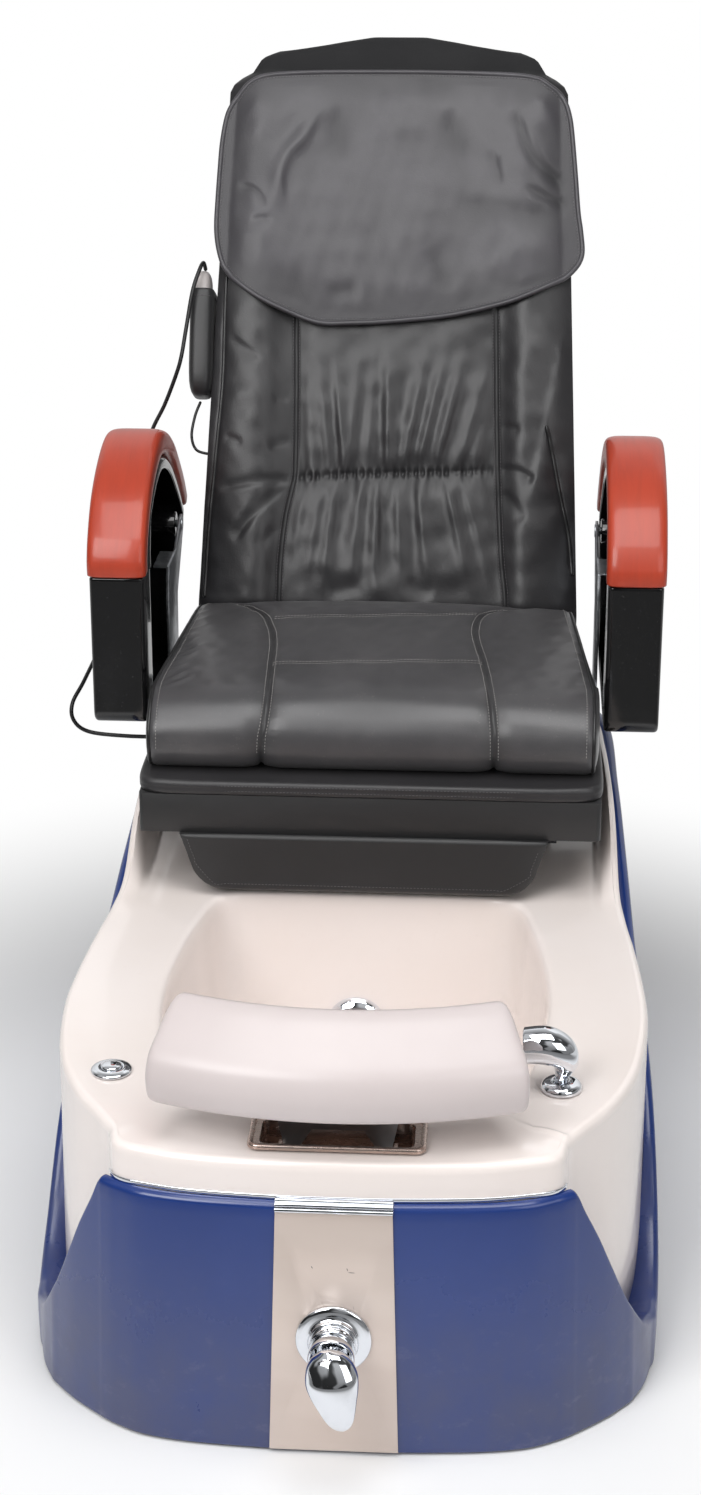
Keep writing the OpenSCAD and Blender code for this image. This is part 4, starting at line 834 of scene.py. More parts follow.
TUB_HALF = [
    [0, 21, 346, 283], [65, 22, 346, 283], [154, 29, 346, 283], [208, 41, 347, 283], [229, 48.5, 347, 283],
    [240, 58, 347, 283], [244.5, 72, 348, 283], [249, 88, 348, 262], [264, 112, 349, 190],
    [300, 170, 351, 58], [328, 250, 353, 58],
    [342, 360, 355, 58], [341, 450, 357, 58], [334, 550, 359, 58], [326, 630, 361, 58],
    [320, 700, 374, 120], [316, 780, 430, 180], [313, 860, 452, 240], [308, 1000, 456, 260],
    [298, 1106, 456, 260], [252, 1166, 456, 260], [120, 1176, 456, 260], [0, 1176, 456, 260],
]
BASIN_HALF = [
    [0, 150], [50, 150], [95, 151], [125, 153], [139, 155.5], [150, 159], [158.5, 164.5], [167, 172], [176, 182],
    [196, 212], [212, 280], [222, 350], [225, 410], [222, 470], [214, 540], [205, 590], [197, 630], [186, 655],
    [170, 668], [150, 672], [120, 673], [60, 674], [0, 674],
]
BASIN_WALL = [[0.62, 0], [0.82, 0.008], [0.905, 0.035], [0.93, 0.09], [1, 0.96]]   # share, depth
JET_Z = 184.0


def tub():
    """White moulding: the basin's floor and wall, its rolled mouth, the deck, the raised rim and the
    wall outside it, each a ring round the basin, with a smooth line through each column of points.
    A low ridge is added to the deck at the right as a narrow bell across a short arc."""
    edge = curve(mirrored(TUB_HALF), 8, closed=True)
    mouth = curve(mirrored(BASIN_HALF), 8, closed=True)
    oe, om = outward(edge), outward(mouth)
    middle = np.array([0, BASIN_MIDDLE])
    deck = DECK_Z + np.minimum(16, 0.024*edge[:, 1])
    to_mouth = mouth - edge[:, :2]
    to_mouth /= np.linalg.norm(to_mouth, axis=1, keepdims=True)

    def basin(share, depth, out=0.0, drop=0.0):
        q = middle + share*(mouth - middle) + out*om
        return np.column_stack([q, FLOOR_Z + depth*(deck - FLOOR_Z) - drop])

    def rim(out, drop):
        return np.column_stack([mouth + out*om, deck - drop])

    def across(inward, rise, drop=0.0):
        return np.column_stack([edge[:, :2] + inward*to_mouth, deck + rise*(edge[:, 2] - deck) - drop])

    def border(inward, drop):
        return np.column_stack([edge[:, :2] - inward*oe, edge[:, 2] - drop])

    def foot(inward):
        return np.column_stack([edge[:, :2] - inward*oe, edge[:, 3]])

    def side_wall(share):
        reach = 4*np.sin(np.pi*np.clip((edge[:, 1] - 62)/300, 0, 1))**0.8*share**1.2
        q = border(0, 14)*(1 - share) + foot(0)*share
        return q + np.column_stack([reach[:, None]*oe, np.zeros(len(edge))])

    outer = eased([
        basin(0.08, 0), basin(0.3, 0), basin(0.5, 0), basin(0.64, 0.0), basin(0.76, 0.003), basin(0.84, 0.012),
        basin(0.88, 0.022), basin(0.905, 0.036), basin(0.92, 0.06), basin(0.931, 0.095), basin(0.946, 0.29),
        basin(0.962, 0.49), basin(0.98, 0.71), basin(0.992, 0.86), basin(1.0, 0.955), rim(2.6, 3.4),
        rim(5.6, 1.2), rim(10, 0.1), rim(16, 0), across(54, 0), across(44, 0.01), across(37, 0.10),
        across(30.5, 0.32), across(24, 0.55), across(17, 0.80), across(12, 0.95), border(8, 0), border(4.6, 0.9),
        border(1.4, 4.0), border(0, 9), border(0, 14)], 3)
    ridge = curve([[191, 104], [204, 107.5], [219, 105.5], [232, 99.5], [243, 92]], 6)
    far = np.min(np.linalg.norm(outer[:, :, None, :2] - ridge[None, None], axis=3), axis=2)
    outer[..., 2] += np.where(outer[..., 2] > DECK_Z - 2, 2.4*bell(far, 3.4), 0)
    side = [side_wall(s) for s in (0.2, 0.4, 0.6, 0.8, 1.0)]
    inner = [foot(TUB_T), border(TUB_T, 15), across(36, 0, TUB_T + 1), rim(12, TUB_T + 1)]
    inner += [basin(share, depth, TUB_T, TUB_T if depth < 0.01 else 0) for share, depth in BASIN_WALL[::-1]]
    thing = skin("white_tub", np.concatenate([outer, side, inner]), finish("ivory"), "base",
                 ["tub"])

    def plug(loop, z0, z1):
        flat = [np.column_stack([loop, np.full(len(loop), z)]) for z in (z0, z1)]
        return skin("plug", np.array(flat), None, "base", smooth=False)

    circle = round_box(27, 27, 13.49)
    depth = PLATFORM_Z - FLOOR_Z
    wall_run, wall_rise = 0.07*BASIN_REACH, 0.87*depth
    jet_lean = math.atan(wall_run/wall_rise)
    jet_y = BASIN_MIDDLE + 0.93*BASIN_REACH + wall_run/wall_rise*(JET_Z - FLOOR_Z - 0.09*depth)
    return carve(thing, [
        plug(round_box(169, 55, 10) + [0, 79], 300, 390), plug(circle + BUTTON_AT[:2], 320, 390),
        plug(circle + COLLAR_AT[:2], 320, 390),
        drill([-15, jet_y, JET_Z], [0, math.cos(jet_lean), -math.sin(jet_lean)], 12, 60, "base"),
        drill([0, 380, FLOOR_Z], [0, 0, 1], 16, 60, "base")])


def nose_strip():
    """Chrome strip under the nose: a rounded bar, 2.3 deep and 5 high, carried along the front of
    the tub's loop just outside it."""
    loop = curve(mirrored(TUB_HALF), 8, closed=True)
    o = outward(loop)
    front = np.flatnonzero(loop[:, 1] < 66)
    order = np.r_[front[loop[front, 0] < 0], front[loop[front, 0] >= 0]]
    section = round_box(2.3, 5.2, 1.1, 5) + [1.45, 0]
    centre = np.column_stack([loop[order, :2], np.full(len(order), APRON_H + 2.8)])
    across = np.column_stack([o[order], np.zeros(len(order))])
    rings = centre[:, None] + section[None, :, :1]*across[:, None] + section[None, :, 1:]*[0, 0, 1.0]
    return skin("nose_strip", rings, finish("chrome"), "base", ["nose_trim"])


def ribbed_cap():
    """Chrome cap over the apron's top edge: a quarter ring whose radius swells by a half circle at
    each of three ribs, drawn across the panel's width with softened ends."""
    a = np.radians(np.linspace(-1, 91, 93))
    swell = np.zeros(len(a))
    for rib in np.radians([12, 45, 78]):
        swell = np.maximum(swell, 2.0*np.sqrt(np.clip(1 - (10*np.sin(a - rib)/2.2)**2, 0, 1)))
    outer = np.stack([-(10 + swell)*np.cos(a), (10 + swell)*np.sin(a)], 1)
    inner = 8.5*np.stack([-np.cos(a[::-6]), np.sin(a[::-6])], 1)
    ring = np.vstack([outer, inner])
    middle = ring.mean(0)
    rings = [np.column_stack([np.full(len(ring), x), middle + s*(ring - middle) + [APRON_Y + 8, APRON_H - 8]])
             for x, s in ((-62.4, 0.93), (-62, 0.98), (-61.4, 1), (-40, 1), (0, 1), (40, 1), (61.4, 1), (62, 0.98),
                          (62.4, 0.93))]
    return skin("ribbed_cap", np.array(rings), finish("chrome"), "base", ["panel_cap"])


# ---------------------------------------------------------------- valve and deck fittings

def valve():
    """Round plate and sleeve, turned from their outlines about the valve's axis, and the lever: a
    line of flattened ovals from its round top down to its tip, with a pocket for its stem."""
    plate = shut([(16.3, 0), (41, 0), (41, 2), (40.3, 3.2), (38.6, 4.4), (35.5, 5.3), (31, 5.9), (28.6, 6.4),
                  (27.4, 7.4), (26.9, 9), (26.2, 10.3), (25, 11), (16.3, 11)], 0.3)
    turned("valve_plate", plate, lambda p: on_apron(forward(p) + [0, -1.9, VALVE_Z]), finish("chrome"), "base",
           ["valve_escutcheon"], 96)
    sleeve = shut([(18, 0), (25, 0), (25, 8), (23.6, 9), (23.6, 11), (25, 12), (25, 29), (24.4, 31.2),
                   (23.4, 32.5), (22.4, 33), (21.6, 24), (18, 18)], 0.3)
    turned("valve_ring", sleeve, lambda p: on_apron(forward(p) + [0, -13, VALVE_Z]), finish("chrome"), "base",
           ["valve_sleeve"], 96)
    shape = curve([[2, 20, 5, 4], [1, 15, 16, 11], [-1, 7, 23.5, 15], [-4, -3, 27.5, 17.5], [-8, -12, 28.5, 17],
                   [-12, -24, 26, 14], [-15, -35, 22, 11], [-17, -46, 18, 8.5], [-17, -56, 14, 7],
                   [-15, -64, 9, 5], [-14, -68, 3, 2]], 6)
    a = 2*np.pi*np.arange(48)/48
    rings = np.stack([shape[:, 2:3]*np.cos(a), shape[:, 0:1] + shape[:, 3:4]*np.sin(a),
                      np.broadcast_to(shape[:, 1:2], (len(shape), 48))], -1)

    def held(p):
        c, s = math.cos(LEVER_TURN), math.sin(LEVER_TURN)
        q = np.stack([p[..., 0]*c + p[..., 2]*s, p[..., 1], p[..., 2]*c - p[..., 0]*s], -1)
        return on_apron(q + [0, LEVER_Y, VALVE_Z])

    lever = skin("lever", held(rings), finish("chrome"), "valve_lever", ["valve_lever"])
    box = np.array([[[x, y, z] for x, y in ((-5.8, -10), (5.8, -10), (5.8, 34), (-5.8, 34))]
                    for z in (-15, 15)], float)
    pin = np.array([[x, 0, 0] for x in (-18, 18)], float)
    carve(lever, [skin("pocket", held(box), None, "base", smooth=False),
                  skin("bore", held(rings_along(pin, 3.5, 24)), None, "base", smooth=False)])


FOOT_HALF, FOOT_SAG, FOOT_Y, FOOT_Z = 206.0, 40.0, 18.0, 396.9


def footrest_parts():
    """Footrest pad: the section's smooth loop swept on the circle that sags FOOT_SAG over the pad's
    width, narrowing at both ends."""
    section = curve([[4, -2], [0, 18], [4, 39], [13, 53], [34, 69], [60, 87], [78, 92], [88, 82], [88, 50],
                     [82, 14], [70, 0], [40, 0], [15, -4]], 7, closed=True)
    centre = section.mean(0)
    r = (FOOT_HALF**2 + FOOT_SAG**2)/(2*FOOT_SAG)
    reach = math.asin(FOOT_HALF/r)
    k = np.linspace(-1, 1, 85)
    share = np.sign(k)*(1 - (1 - np.abs(k))**1.35)
    size = np.interp(np.abs(share), [0, 0.93, 0.96, 0.98, 0.991, 0.997, 1],
                     [1, 1, 0.99, 0.955, 0.905, 0.84, 0.7])
    q = centre + size[:, None, None]*(section - centre)
    b = (share*reach)[:, None]
    rings = np.stack([(r - q[..., 0])*np.sin(b), FOOT_Y + r - (r - q[..., 0])*np.cos(b), q[..., 1] + FOOT_Z], -1)
    thing = skin("foot_pad", rings, finish("pad_white"), "footrest", ["footrest_pad"])


def button_and_spray():
    """Air button in its bezel, and the hand spray in its collar: turned outlines, and the spray's
    head as circles along a bent path."""
    nut = [(13, NUT_Z), (20, NUT_Z), (20, NUT_Z + 5), (13, NUT_Z + 5), (13, 0), (23, 0)]
    bezel = chamfered([(0, -42), (13, -42)] + nut
                      + [(23, 1.2), (22.5, 2.3), (21, 3.3), (18, 4.3), (14.6, 4.8), (12.9, 4.5), (12.2, 3.6),
                         (12.2, -36), (0, -36)], 0.2)
    turned("button_bezel", bezel, lambda p: p + BUTTON_AT, finish("chrome"), "base",
           ["air_button_bezel"])
    cap = chamfered([(0, -20), (6, -20), (6, -1), (11.7, -1), (11.7, 5.0), (11.2, 6.3), (10.2, 7.1), (8.4, 7.7),
                     (5.5, 8.2), (2.5, 8.4), (0, 8.45)], 0.15)
    turned("button_cap", cap, lambda p: p + BUTTON_AT, finish("chrome"), "air_button", ["air_button"])
    dome = [(15 + 8*math.cos(a), 1.5 + 7*math.sin(a)) for a in np.radians(range(12, 90, 12))]
    ring = shut([(7.5, -40), (13, -40)] + nut + [(23, 1.5)] + dome + [(12.5, 9), (10.6, 9), (7.5, 4)], 0.25)
    turned("spray_ring", ring, lambda p: p + COLLAR_AT, finish("chrome"), "base", ["spray_collar"])
    path = curve([[0, 0, -4], [0, 0, 5], [2, 0, 13], [3, 0, 24], [-4, 0, 35], [-19, 1, 41], [-40, 3, 39]], 7)
    size = curve([[6.4], [7.6], [11], [16], [20], [21.5], [20.5]], 7)[:, 0]
    end = path[-1] - path[-2]
    end /= np.linalg.norm(end)
    path = np.vstack([path, path[-1] + end*[[0.5], [0.9], [0.9 + 1e-3]]])
    size = np.r_[size, 20.2, 19.6, 17.0]
    rings = rings_along(path, size, 48, up=(0, 1, 0)) + COLLAR_AT + [0, 0, 10.5]
    skin("spray", rings, finish("chrome"), "hand_spray", ["spray_head"])


# ---------------------------------------------------------------- seat

SEAT_LINE = [
    (1072, 517), (900, 517), (760, 517), (724, 517), (702, 525), (691, 542), (688.5, 561), (693, 581), (704, 599),
    (722, 613), (748, 621.5), (790, 626), (860, 630), (960, 634), (1030, 636), (1062, 633), (1081, 621),
    (1089.5, 599), (1090, 570), (1089, 545), (1085, 526),
]
SEAT_RUN = 958.5
SEAT_HALF, SEAT_MIDDLE = 286.0, np.array([905.0, 571.0])
SEAT_SEAMS = [
    [(824, -212), (774, -171), (714, -150), (652, -140), (584, -136), (488, -132), (442, -134), (410, -138),
     (334, -140), (300, -140)],
    [(824, 206), (790, 150), (756, 132), (692, 127), (590, 140), (510, 148), (452, 154), (418, 156), (382, 156),
     (300, 154)],
]
SEAT_CROSS = [[(738, -147), (748, 0), (768, 127)], [(582, -135), (580, 0), (598, 139)]]


def seat_loop(u):
    """Side view of the seat at a distance round it: place and outward direction, in y and z."""
    p = np.array(SEAT_LINE, float)
    run = np.r_[0, np.cumsum(np.linalg.norm(np.diff(np.vstack([p, p[:1]]), axis=0), axis=1))]
    fine = curve(p, 16, closed=True)
    at = np.concatenate([a + (b - a)*np.arange(16)/16 for a, b in zip(run[:-1], run[1:])])
    u = np.mod(u, run[-1])
    t = np.gradient(np.vstack([fine[-1:], fine, fine[:1]]), axis=0)[1:-1]
    t /= np.linalg.norm(t, axis=1, keepdims=True)
    at, fine, t = np.r_[at, run[-1]], np.vstack([fine, fine[:1]]), np.vstack([t, t[:1]])
    y, z, ty, tz = (np.interp(u, at, v) for v in (fine[:, 0], fine[:, 1], t[:, 0], t[:, 1]))
    size = np.hypot(ty, tz)
    return y, z, -tz/size, ty/size


def line_bell(x, s, line, width, height, tail=0.25, lean=0.0):
    """A ridge along a line on a surface: height times a bell of the distance from the line, fading
    in and out over a share of its length, steeper on one side where lean isn't 0."""
    p = curve(line, 5)
    run = np.r_[0, np.cumsum(np.linalg.norm(np.diff(p, axis=0), axis=1))]
    best = np.full(x.shape, 1e9)
    where = np.zeros(x.shape)
    hand = np.zeros(x.shape)
    for a, b, r in zip(p[:-1], p[1:], run):
        d = b - a
        length = math.hypot(*d)
        t = np.clip(((x - a[0])*d[0] + (s - a[1])*d[1])/length**2, 0, 1)
        ex, es = x - a[0] - t*d[0], s - a[1] - t*d[1]
        far = ex*ex + es*es
        near = far < best
        best = np.where(near, far, best)
        where = np.where(near, (r + t*length)/run[-1], where)
        hand = np.where(near, np.sign(ex*d[1] - es*d[0]), hand)
    w = width*(1 + lean*hand)
    fade = step(where, -0.001, tail)*(1 - step(where, 1 - tail, 1.001)) if tail else 1.0
    return height*np.exp(-best/w**2)*fade


def seat_relief(u, x):
    """Height added to the seat's smooth form: seams sunk between puffed panels, two sewn lines
    across the middle panel, slanting puckers at the left edge and slow unevenness."""
    out = np.zeros(np.broadcast(u, x).shape)
    u, x = np.broadcast_arrays(np.asarray(u, float), np.asarray(x, float))
    for seam in SEAT_SEAMS:
        line = np.array(seam)[:, ::-1]
        out = out + line_bell(x, u, line, 3.0, -3.6, 0.04) + line_bell(x, u, line, 15, -3.4, 0.04)
    for cross in SEAT_CROSS:
        line = np.array(cross)[:, ::-1]
        out = out + line_bell(x, u, line, 2.0, -1.3, 0.02) + line_bell(x, u, line, 9, -1.5, 0.05)
    rng = np.random.default_rng(5)
    for k in range(11):
        at = 500 + 27*k + rng.uniform(-6, 6)
        reach = rng.uniform(26, 44)
        line = [(-272, at), (-272 + reach*0.6, at + reach*0.4), (-272 + reach, at + reach)]
        out = out + line_bell(x, u, line, 3.6, rng.uniform(0.9, 1.7), 0.45, 0.35)
    for k in range(7):
        at = 530 + 36*k + rng.uniform(-8, 8)
        reach = rng.uniform(14, 26)
        line = [(274, at), (274 - reach, at + reach*0.7)]
        out = out + line_bell(x, u, line, 3.4, rng.uniform(0.5, 1.1), 0.45)
    for k in range(8):
        at = 420 + 9*k
        out = out + line_bell(x, u, [(-134 + rng.uniform(4, 8), at), (-112, at + rng.uniform(-4, 4))], 2.6,
                              rng.uniform(0.3, 0.8), 0.5)
    top = step(u, 470, 520)*(1 - step(u, 770, 810))
    out = out + 1.3*top*ripples(x, u, 11, 10, 70, 190) + 0.5*ripples(x, u, 12, 10, 26, 60)*top
    out = out - 3.0*np.exp(-(x/70)**2 - ((u - 458)/26)**2)
    return out + 2.0*np.exp(-((x - 20)/90)**2 - ((u - 660)/60)**2)


def seat_half_at(y):
    """Half the seat's width, narrower towards the rear."""
    return SEAT_HALF*np.interp(y, [690, 760, 1090], [0.998, 0.998, 0.9])


def seat_half(u):
    """The same at a distance u round the side view."""
    return seat_half_at(seat_loop(np.asarray(u, float))[0])


def seat_point(u, x, extra=0.0):
    """A point of the seat at a distance u round its side view and x across."""
    u, x = np.broadcast_arrays(np.asarray(u, float), np.asarray(x, float))
    y, z, ny, nz = seat_loop(u)
    w = seat_half_at(y)
    share = np.clip(np.abs(x)/w, 0, 1)
    upper = step(z, 560, 610)
    z = z - 9*upper*share**2
    r = 15.0
    over = np.clip((np.abs(x) - (w - r))/r, 0, 1)
    inset = r*(1 - np.sqrt(np.clip(1 - over**2, 0, 1)))*0.9
    lift = seat_relief(u, x)*(1 - 0.9*over) - inset + extra
    return np.stack([x, y + ny*lift, z + nz*lift], -1)


def keep_mark(thing, name, values):
    """Stores a number at each point of a piece, for its finish to read."""
    made = thing.data.attributes.new(name, "FLOAT", "POINT")
    full = np.zeros(len(thing.data.vertices), np.float32)
    values = np.asarray(values, np.float32).ravel()
    full[:len(values)] = values
    made.data.foreach_set("value", full)


def sewn(name, point, a, b, pitch, word, body, radius=0.4):
    """A row of thread dashes along a line of the surface that point() gives."""
    line = point(a, b)
    stitches(name, line, point(a, b, 1.0) - line, pitch, finish(word), body, radius)


def seat():
    """Seat cushion: the side view's loop swept across, its outer columns rolled over into flat side
    bands, with seat_relief added along its own direction out. Piping runs round both side edges and
    rows of thread follow the seams."""
    u = np.linspace(0, SEAT_RUN, 321)[:-1]
    a = np.linspace(-1, 1, 209)
    column = np.sign(a)*(np.abs(a)**0.92)
    half = seat_half(u)
    x = column[:, None]*half[None]
    body = seat_point(u[None], x)
    relief = seat_relief(u[None], x)
    sides = []
    for side, edge in ((-1, body[0]), (1, body[-1])):
        band = []
        for share, out in ((0.96, 1.2), (0.85, 3.4), (0.65, 4.6), (0.4, 5.2), (0.15, 5.4)):
            q = SEAT_MIDDLE + share*(edge[:, 1:] - SEAT_MIDDLE)
            band.append(np.column_stack([edge[:, 0] + side*out, q]))
        sides.append(band[::-1] if side < 0 else band)
    # Painted shade: the sunk seams and puckers get a mark that darkens the leather there.
    fold = np.clip(-relief/6.5, 0, 1)
    fold = np.concatenate([np.zeros((5, len(u))), fold, np.zeros((5, len(u)))])
    thing = skin("seat_pad", np.concatenate([sides[0], body, sides[1]]), finish("seat_leather"), "seat",
                 ["seat_cushion"])
    keep_mark(thing, "fold", fold)
    size = bpy.context.scene.spa_sizes
    pipe = size.piping*1000
    dash = size.stitch*1000
    for side, word in ((-1, "left"), (1, "right")):
        s = np.linspace(0, SEAT_RUN, 260)[:-1]
        line = seat_point(s, side*(seat_half(s) - 4.6))
        rope(f"seat_piping_{word}", line, pipe, finish("piping"), "seat", 8, round_trip=True)
        s = np.linspace(400, 850, 120)
        sewn(f"seat_edge_thread_{word}", seat_point, s, side*(seat_half(s) - 14), dash, "thread", "seat")
    for k, seam in enumerate(SEAT_SEAMS):
        q = curve(seam, 12)
        q = q[(q[:, 0] < 812) & (q[:, 0] > 388)]
        for off, word in ((-5.0, "inner"), (5.0, "outer")):
            sewn(f"seat_seam_thread_{k}_{word}", seat_point, q[:, 0], q[:, 1] + off, dash, "thread", "seat")
    for k, cross in enumerate(SEAT_CROSS):
        q = curve(cross, 30)
        for off, word in ((-3.2, "front"), (3.2, "rear")):
            sewn(f"seat_cross_thread_{k}_{word}", seat_point, q[:, 0] + off, q[:, 1], dash, "thread", "seat",
                 radius=0.3)


LID_X, LID_Y, LID_MIDDLE, LID_CORNER = 295.0, 197.5, 862.5, 0.115
LID_RINGS = [(5, 498.7), (2.2, 499.2), (0.8, 500.6), (0.2, 503), (0.1, 506.5), (0.5, 507.6), (0.1, 508.8),
             (0.2, 511), (0.9, 513.2), (2.4, 515.2), (4.6, 516.3), (8, 516.7), (20, 516.7), (60, 516.7),
             (110, 516.7), (170, 516.7)]   # inset, height


def deck():
    """Padded lid of the deck: rounded rectangles rising to a soft shoulder and a nearly flat top
    whose front corners lift a little, and the hanging skirt below with its hem and thread."""
    a = 2*np.pi*np.arange(360)/360

    def loop(inset, z):
        q = np.stack([(LID_X - inset)*power(np.cos(a), LID_CORNER),
                      LID_MIDDLE + (LID_Y - inset)*power(np.sin(a), LID_CORNER)], 1)
        lift = 1.6*step(np.abs(q[:, 0]), 215, 292)*(q[:, 1] < LID_MIDDLE)*step(z, 506, 517)
        return np.column_stack([q, z + lift])

    rings = [loop(inset, z) for inset, z in LID_RINGS]
    thing = skin("deck_lid", np.array(rings), finish("lid_leather"), "seat",
                 ["deck_upholstery"])
    dash = bpy.context.scene.spa_sizes.stitch*1000
    x = np.linspace(-283, 283, 200)
    out = np.tile([0.0, -1.0, 0.0], (200, 1))
    front = LID_MIDDLE - LID_Y*(1 - (np.abs(x)/LID_X)**(1/LID_CORNER))**LID_CORNER
    for z, word in ((504.6, "low"), (511.4, "high")):
        stitches(f"deck_thread_{word}", np.column_stack([x, front + 0.35, np.full(200, z)]), out, dash,
                 finish("dark_thread"), "seat")
    # Skirt: a flat rounded loop at each height above its hem
    b = 2*np.pi*np.arange(240)/240
    z = np.r_[np.linspace(0, 1, 16)**1.6*30, np.linspace(34, SKIRT_H, 9)]

    def hem(z):
        corner = 24*(1 - np.sqrt(np.clip(1 - (1 - np.minimum(z/26, 1))**2, 0, 1)))
        return np.interp(z, [0, 10, 26, SKIRT_H], [207, 211, 218, 234]) - corner

    thick = np.interp(z, [0, 1.5, 4, 8, 12, SKIRT_H], [9, 11.2, 12.4, 12.6, 12.0, 11.6])
    rings = np.stack([SKIRT_X + hem(z)[:, None]*power(np.cos(b), 0.13),
                      SKIRT_Y + thick[:, None]*power(np.sin(b), 0.3),
                      np.broadcast_to(SKIRT_Z + z[:, None], (len(z), 240))], -1)
    wave = 0.5*np.sin(rings[..., 0]/31)*np.sin(rings[..., 0]/77 + 1)*(1 - np.clip(z[:, None]/60, 0, 1))
    rings[..., 1] += wave
    skin("skirt_panel", rings, finish("fascia_leather"), "seat", ["skirt"])
    up = np.r_[np.linspace(70, 27, 20), np.full(120, 9.0), np.linspace(27, 70, 20)]
    edge = hem(up) - 9
    across = np.r_[-edge[:20], np.linspace(-edge[60] + 6, edge[60] - 6, 120), edge[140:]] + SKIRT_X
    line = curve(np.column_stack([across, np.full(160, SKIRT_THREAD_Y), SKIRT_Z + up])[::4], 6)
    stitches("skirt_thread", line, np.tile([0.0, -1.0, 0.0], (len(line), 1)), dash, finish("dark_thread"), "seat")


# ---------------------------------------------------------------- arms

ARM_CURVE = [(786, 744), (786, 768), (803, 802), (842, 842), (904, 873), (976, 888), (1044, 876), (1110, 846),
             (1168, 804), (1212, 766), (1238, 736)]


def arm_line():
    """The arm's outer curve, its directions along it and into the arm, and the pad's thickness, which
    falls evenly to 0.7 of itself over the rear half."""
    line = curve(ARM_CURVE, 10)
    t = np.gradient(line, axis=0)
    t /= np.linalg.norm(t, axis=1, keepdims=True)
    k = np.linspace(0, 1, len(line))
    return line, t, np.stack([t[:, 1], -t[:, 0]], 1), ARM_PAD_T*np.where(k < 0.5, 1, 1.3 - 0.6*k)


def arm_pads():
    """Lacquered arm pads: a rounded square carried along the arm's outer curve, thinner towards the
    back, its two ends rolled in."""
    line, t, into, thick = arm_line()
    n = len(line)
    ends = [(0, 0.80, 0.0), (0, 0.90, 0.5), (0, 0.965, 1.6)]
    stations = (ends + [(i, 1.0, 0) for i in range(1, n - 1)]
                + [(n - 1, size, -out) for i, size, out in ends[::-1]])
    a = 2*np.pi*np.arange(56)/56
    across = power(np.cos(a), 0.42)
    down = power(np.sin(a), 0.42)
    for side, word in ((-1, "left"), (1, "right")):
        rings = []
        for i, size, out in stations:
            p = line[i] + t[i]*out
            u = size*(ARM_W/2 + 3)*across
            v = thick[i]/2 - size*thick[i]/2*down
            q = p + v[:, None]*into[i]
            rings.append(np.column_stack([side*(ARM_X + ARM_W/2) + u, q]))
        skin(f"arm_rest_{word}", np.array(rings), finish("wood"), f"arm_{word}",
             [f"arm_pad_{word}"])


ARM_REAR = [(1206, 700), (1184, 689), (1160, 668), (1120, 616), (1084, 572), (1062, 554), (1040, 546.5),
            (1016, 545)]
ARM_PIVOT, ARM_WALL, ARM_RIM, ARM_EDGE_R = (1129.0, 720.0), 9.0, 16.0, 6.0
ARM_MIDDLE = np.array([985.0, 668.0])
BULGE_Y, BULGE_Z, BULGE_R, BULGE_H = 930, 622, 58, 26


def arm_shells():
    """Black arm mouldings: the side view's loop carried across with rounded edges, its inner side
    hollowed to a wall behind a rim ARM_RIM wide and the front post. Insets run towards the arm's
    middle. A round bulge of elliptic section stands on that wall, and a bored hub, turned about the
    pivot, carries the arm."""
    line, _, into, thick = arm_line()
    top = line + (thick[:, None] + 0.5)*into
    turn = np.radians(np.arange(270, 179, -10))
    corner = np.stack([805 + 16*np.cos(turn), 561 + 16*np.sin(turn)], 1)
    post = [(789, 660), (789.5, 743.6), (824, 743.6)]
    loop = even(np.vstack([top[11:], curve(ARM_REAR, 6), corner, post]), 420, closed=True)[::-1]
    middle = ARM_MIDDLE
    reach = np.linalg.norm(loop - middle, axis=1, keepdims=True)

    def flat(inset):
        return middle + (loop - middle)*(1 - inset/reach)

    hollow = flat(ARM_RIM)
    hollow[:, 0] = np.where(hollow[:, 0] < 880, 880 - (880 - hollow[:, 0])*0.3, hollow[:, 0])
    r, arc = ARM_EDGE_R, np.radians([0, 18, 36, 54, 72, 90])
    for side, word in ((-1, "left"), (1, "right")):
        far, near = ARM_X + ARM_W, ARM_X

        def ring(q, x):
            return np.column_stack([np.broadcast_to(side*np.asarray(x, float), len(q)), q])

        rings = [ring(middle + s*(flat(r) - middle), far) for s in (0.02, 0.3, 0.6, 0.85, 0.97)]
        rings += [ring(flat(r - r*math.sin(a)), far - r + r*math.cos(a)) for a in arc]
        rings += [ring(flat(0), far + (near - far)*s) for s in (0.3, 0.6)]
        rings += [ring(flat(r - r*math.cos(a)), near + r - r*math.sin(a)) for a in arc]
        rings += [ring(flat(r)*(1 - s) + hollow*s, near) for s in (0.4, 0.8, 0.92)]
        rings += [ring(hollow, x) for x in (near + 0.6, near + 2, near + 30, far - ARM_WALL - 3)]
        rings.append(ring(middle + 0.99*(hollow - middle), far - ARM_WALL))
        for s in np.linspace(0.97, 0.02, 44):
            q = middle + s*(hollow - middle)
            off = np.hypot(q[:, 0] - BULGE_Y, q[:, 1] - BULGE_Z)/BULGE_R
            rings.append(ring(q, far - ARM_WALL - BULGE_H*np.sqrt(np.clip(1 - off**2, 0, 1))**1.3))
        skin(f"arm_shell_{word}_body", np.array(rings), finish("black_gloss"), f"arm_{word}",
             [f"arm_shell_{word}"])
        hub_end = ARM_W - ARM_WALL - 0.6
        hub = shut([(5.3, 0), (16, 0), (17, 1.2), (17, hub_end), (5.3, hub_end)], 0.3)
        turned(f"arm_hub_{word}", hub, lambda p: np.stack(
            [side*(ARM_X + 0.5 + p[..., 2]), ARM_PIVOT[0] + p[..., 0], ARM_PIVOT[1] + p[..., 1]], -1),
            finish("black_gloss"), f"arm_{word}")


# ---------------------------------------------------------------- backrest

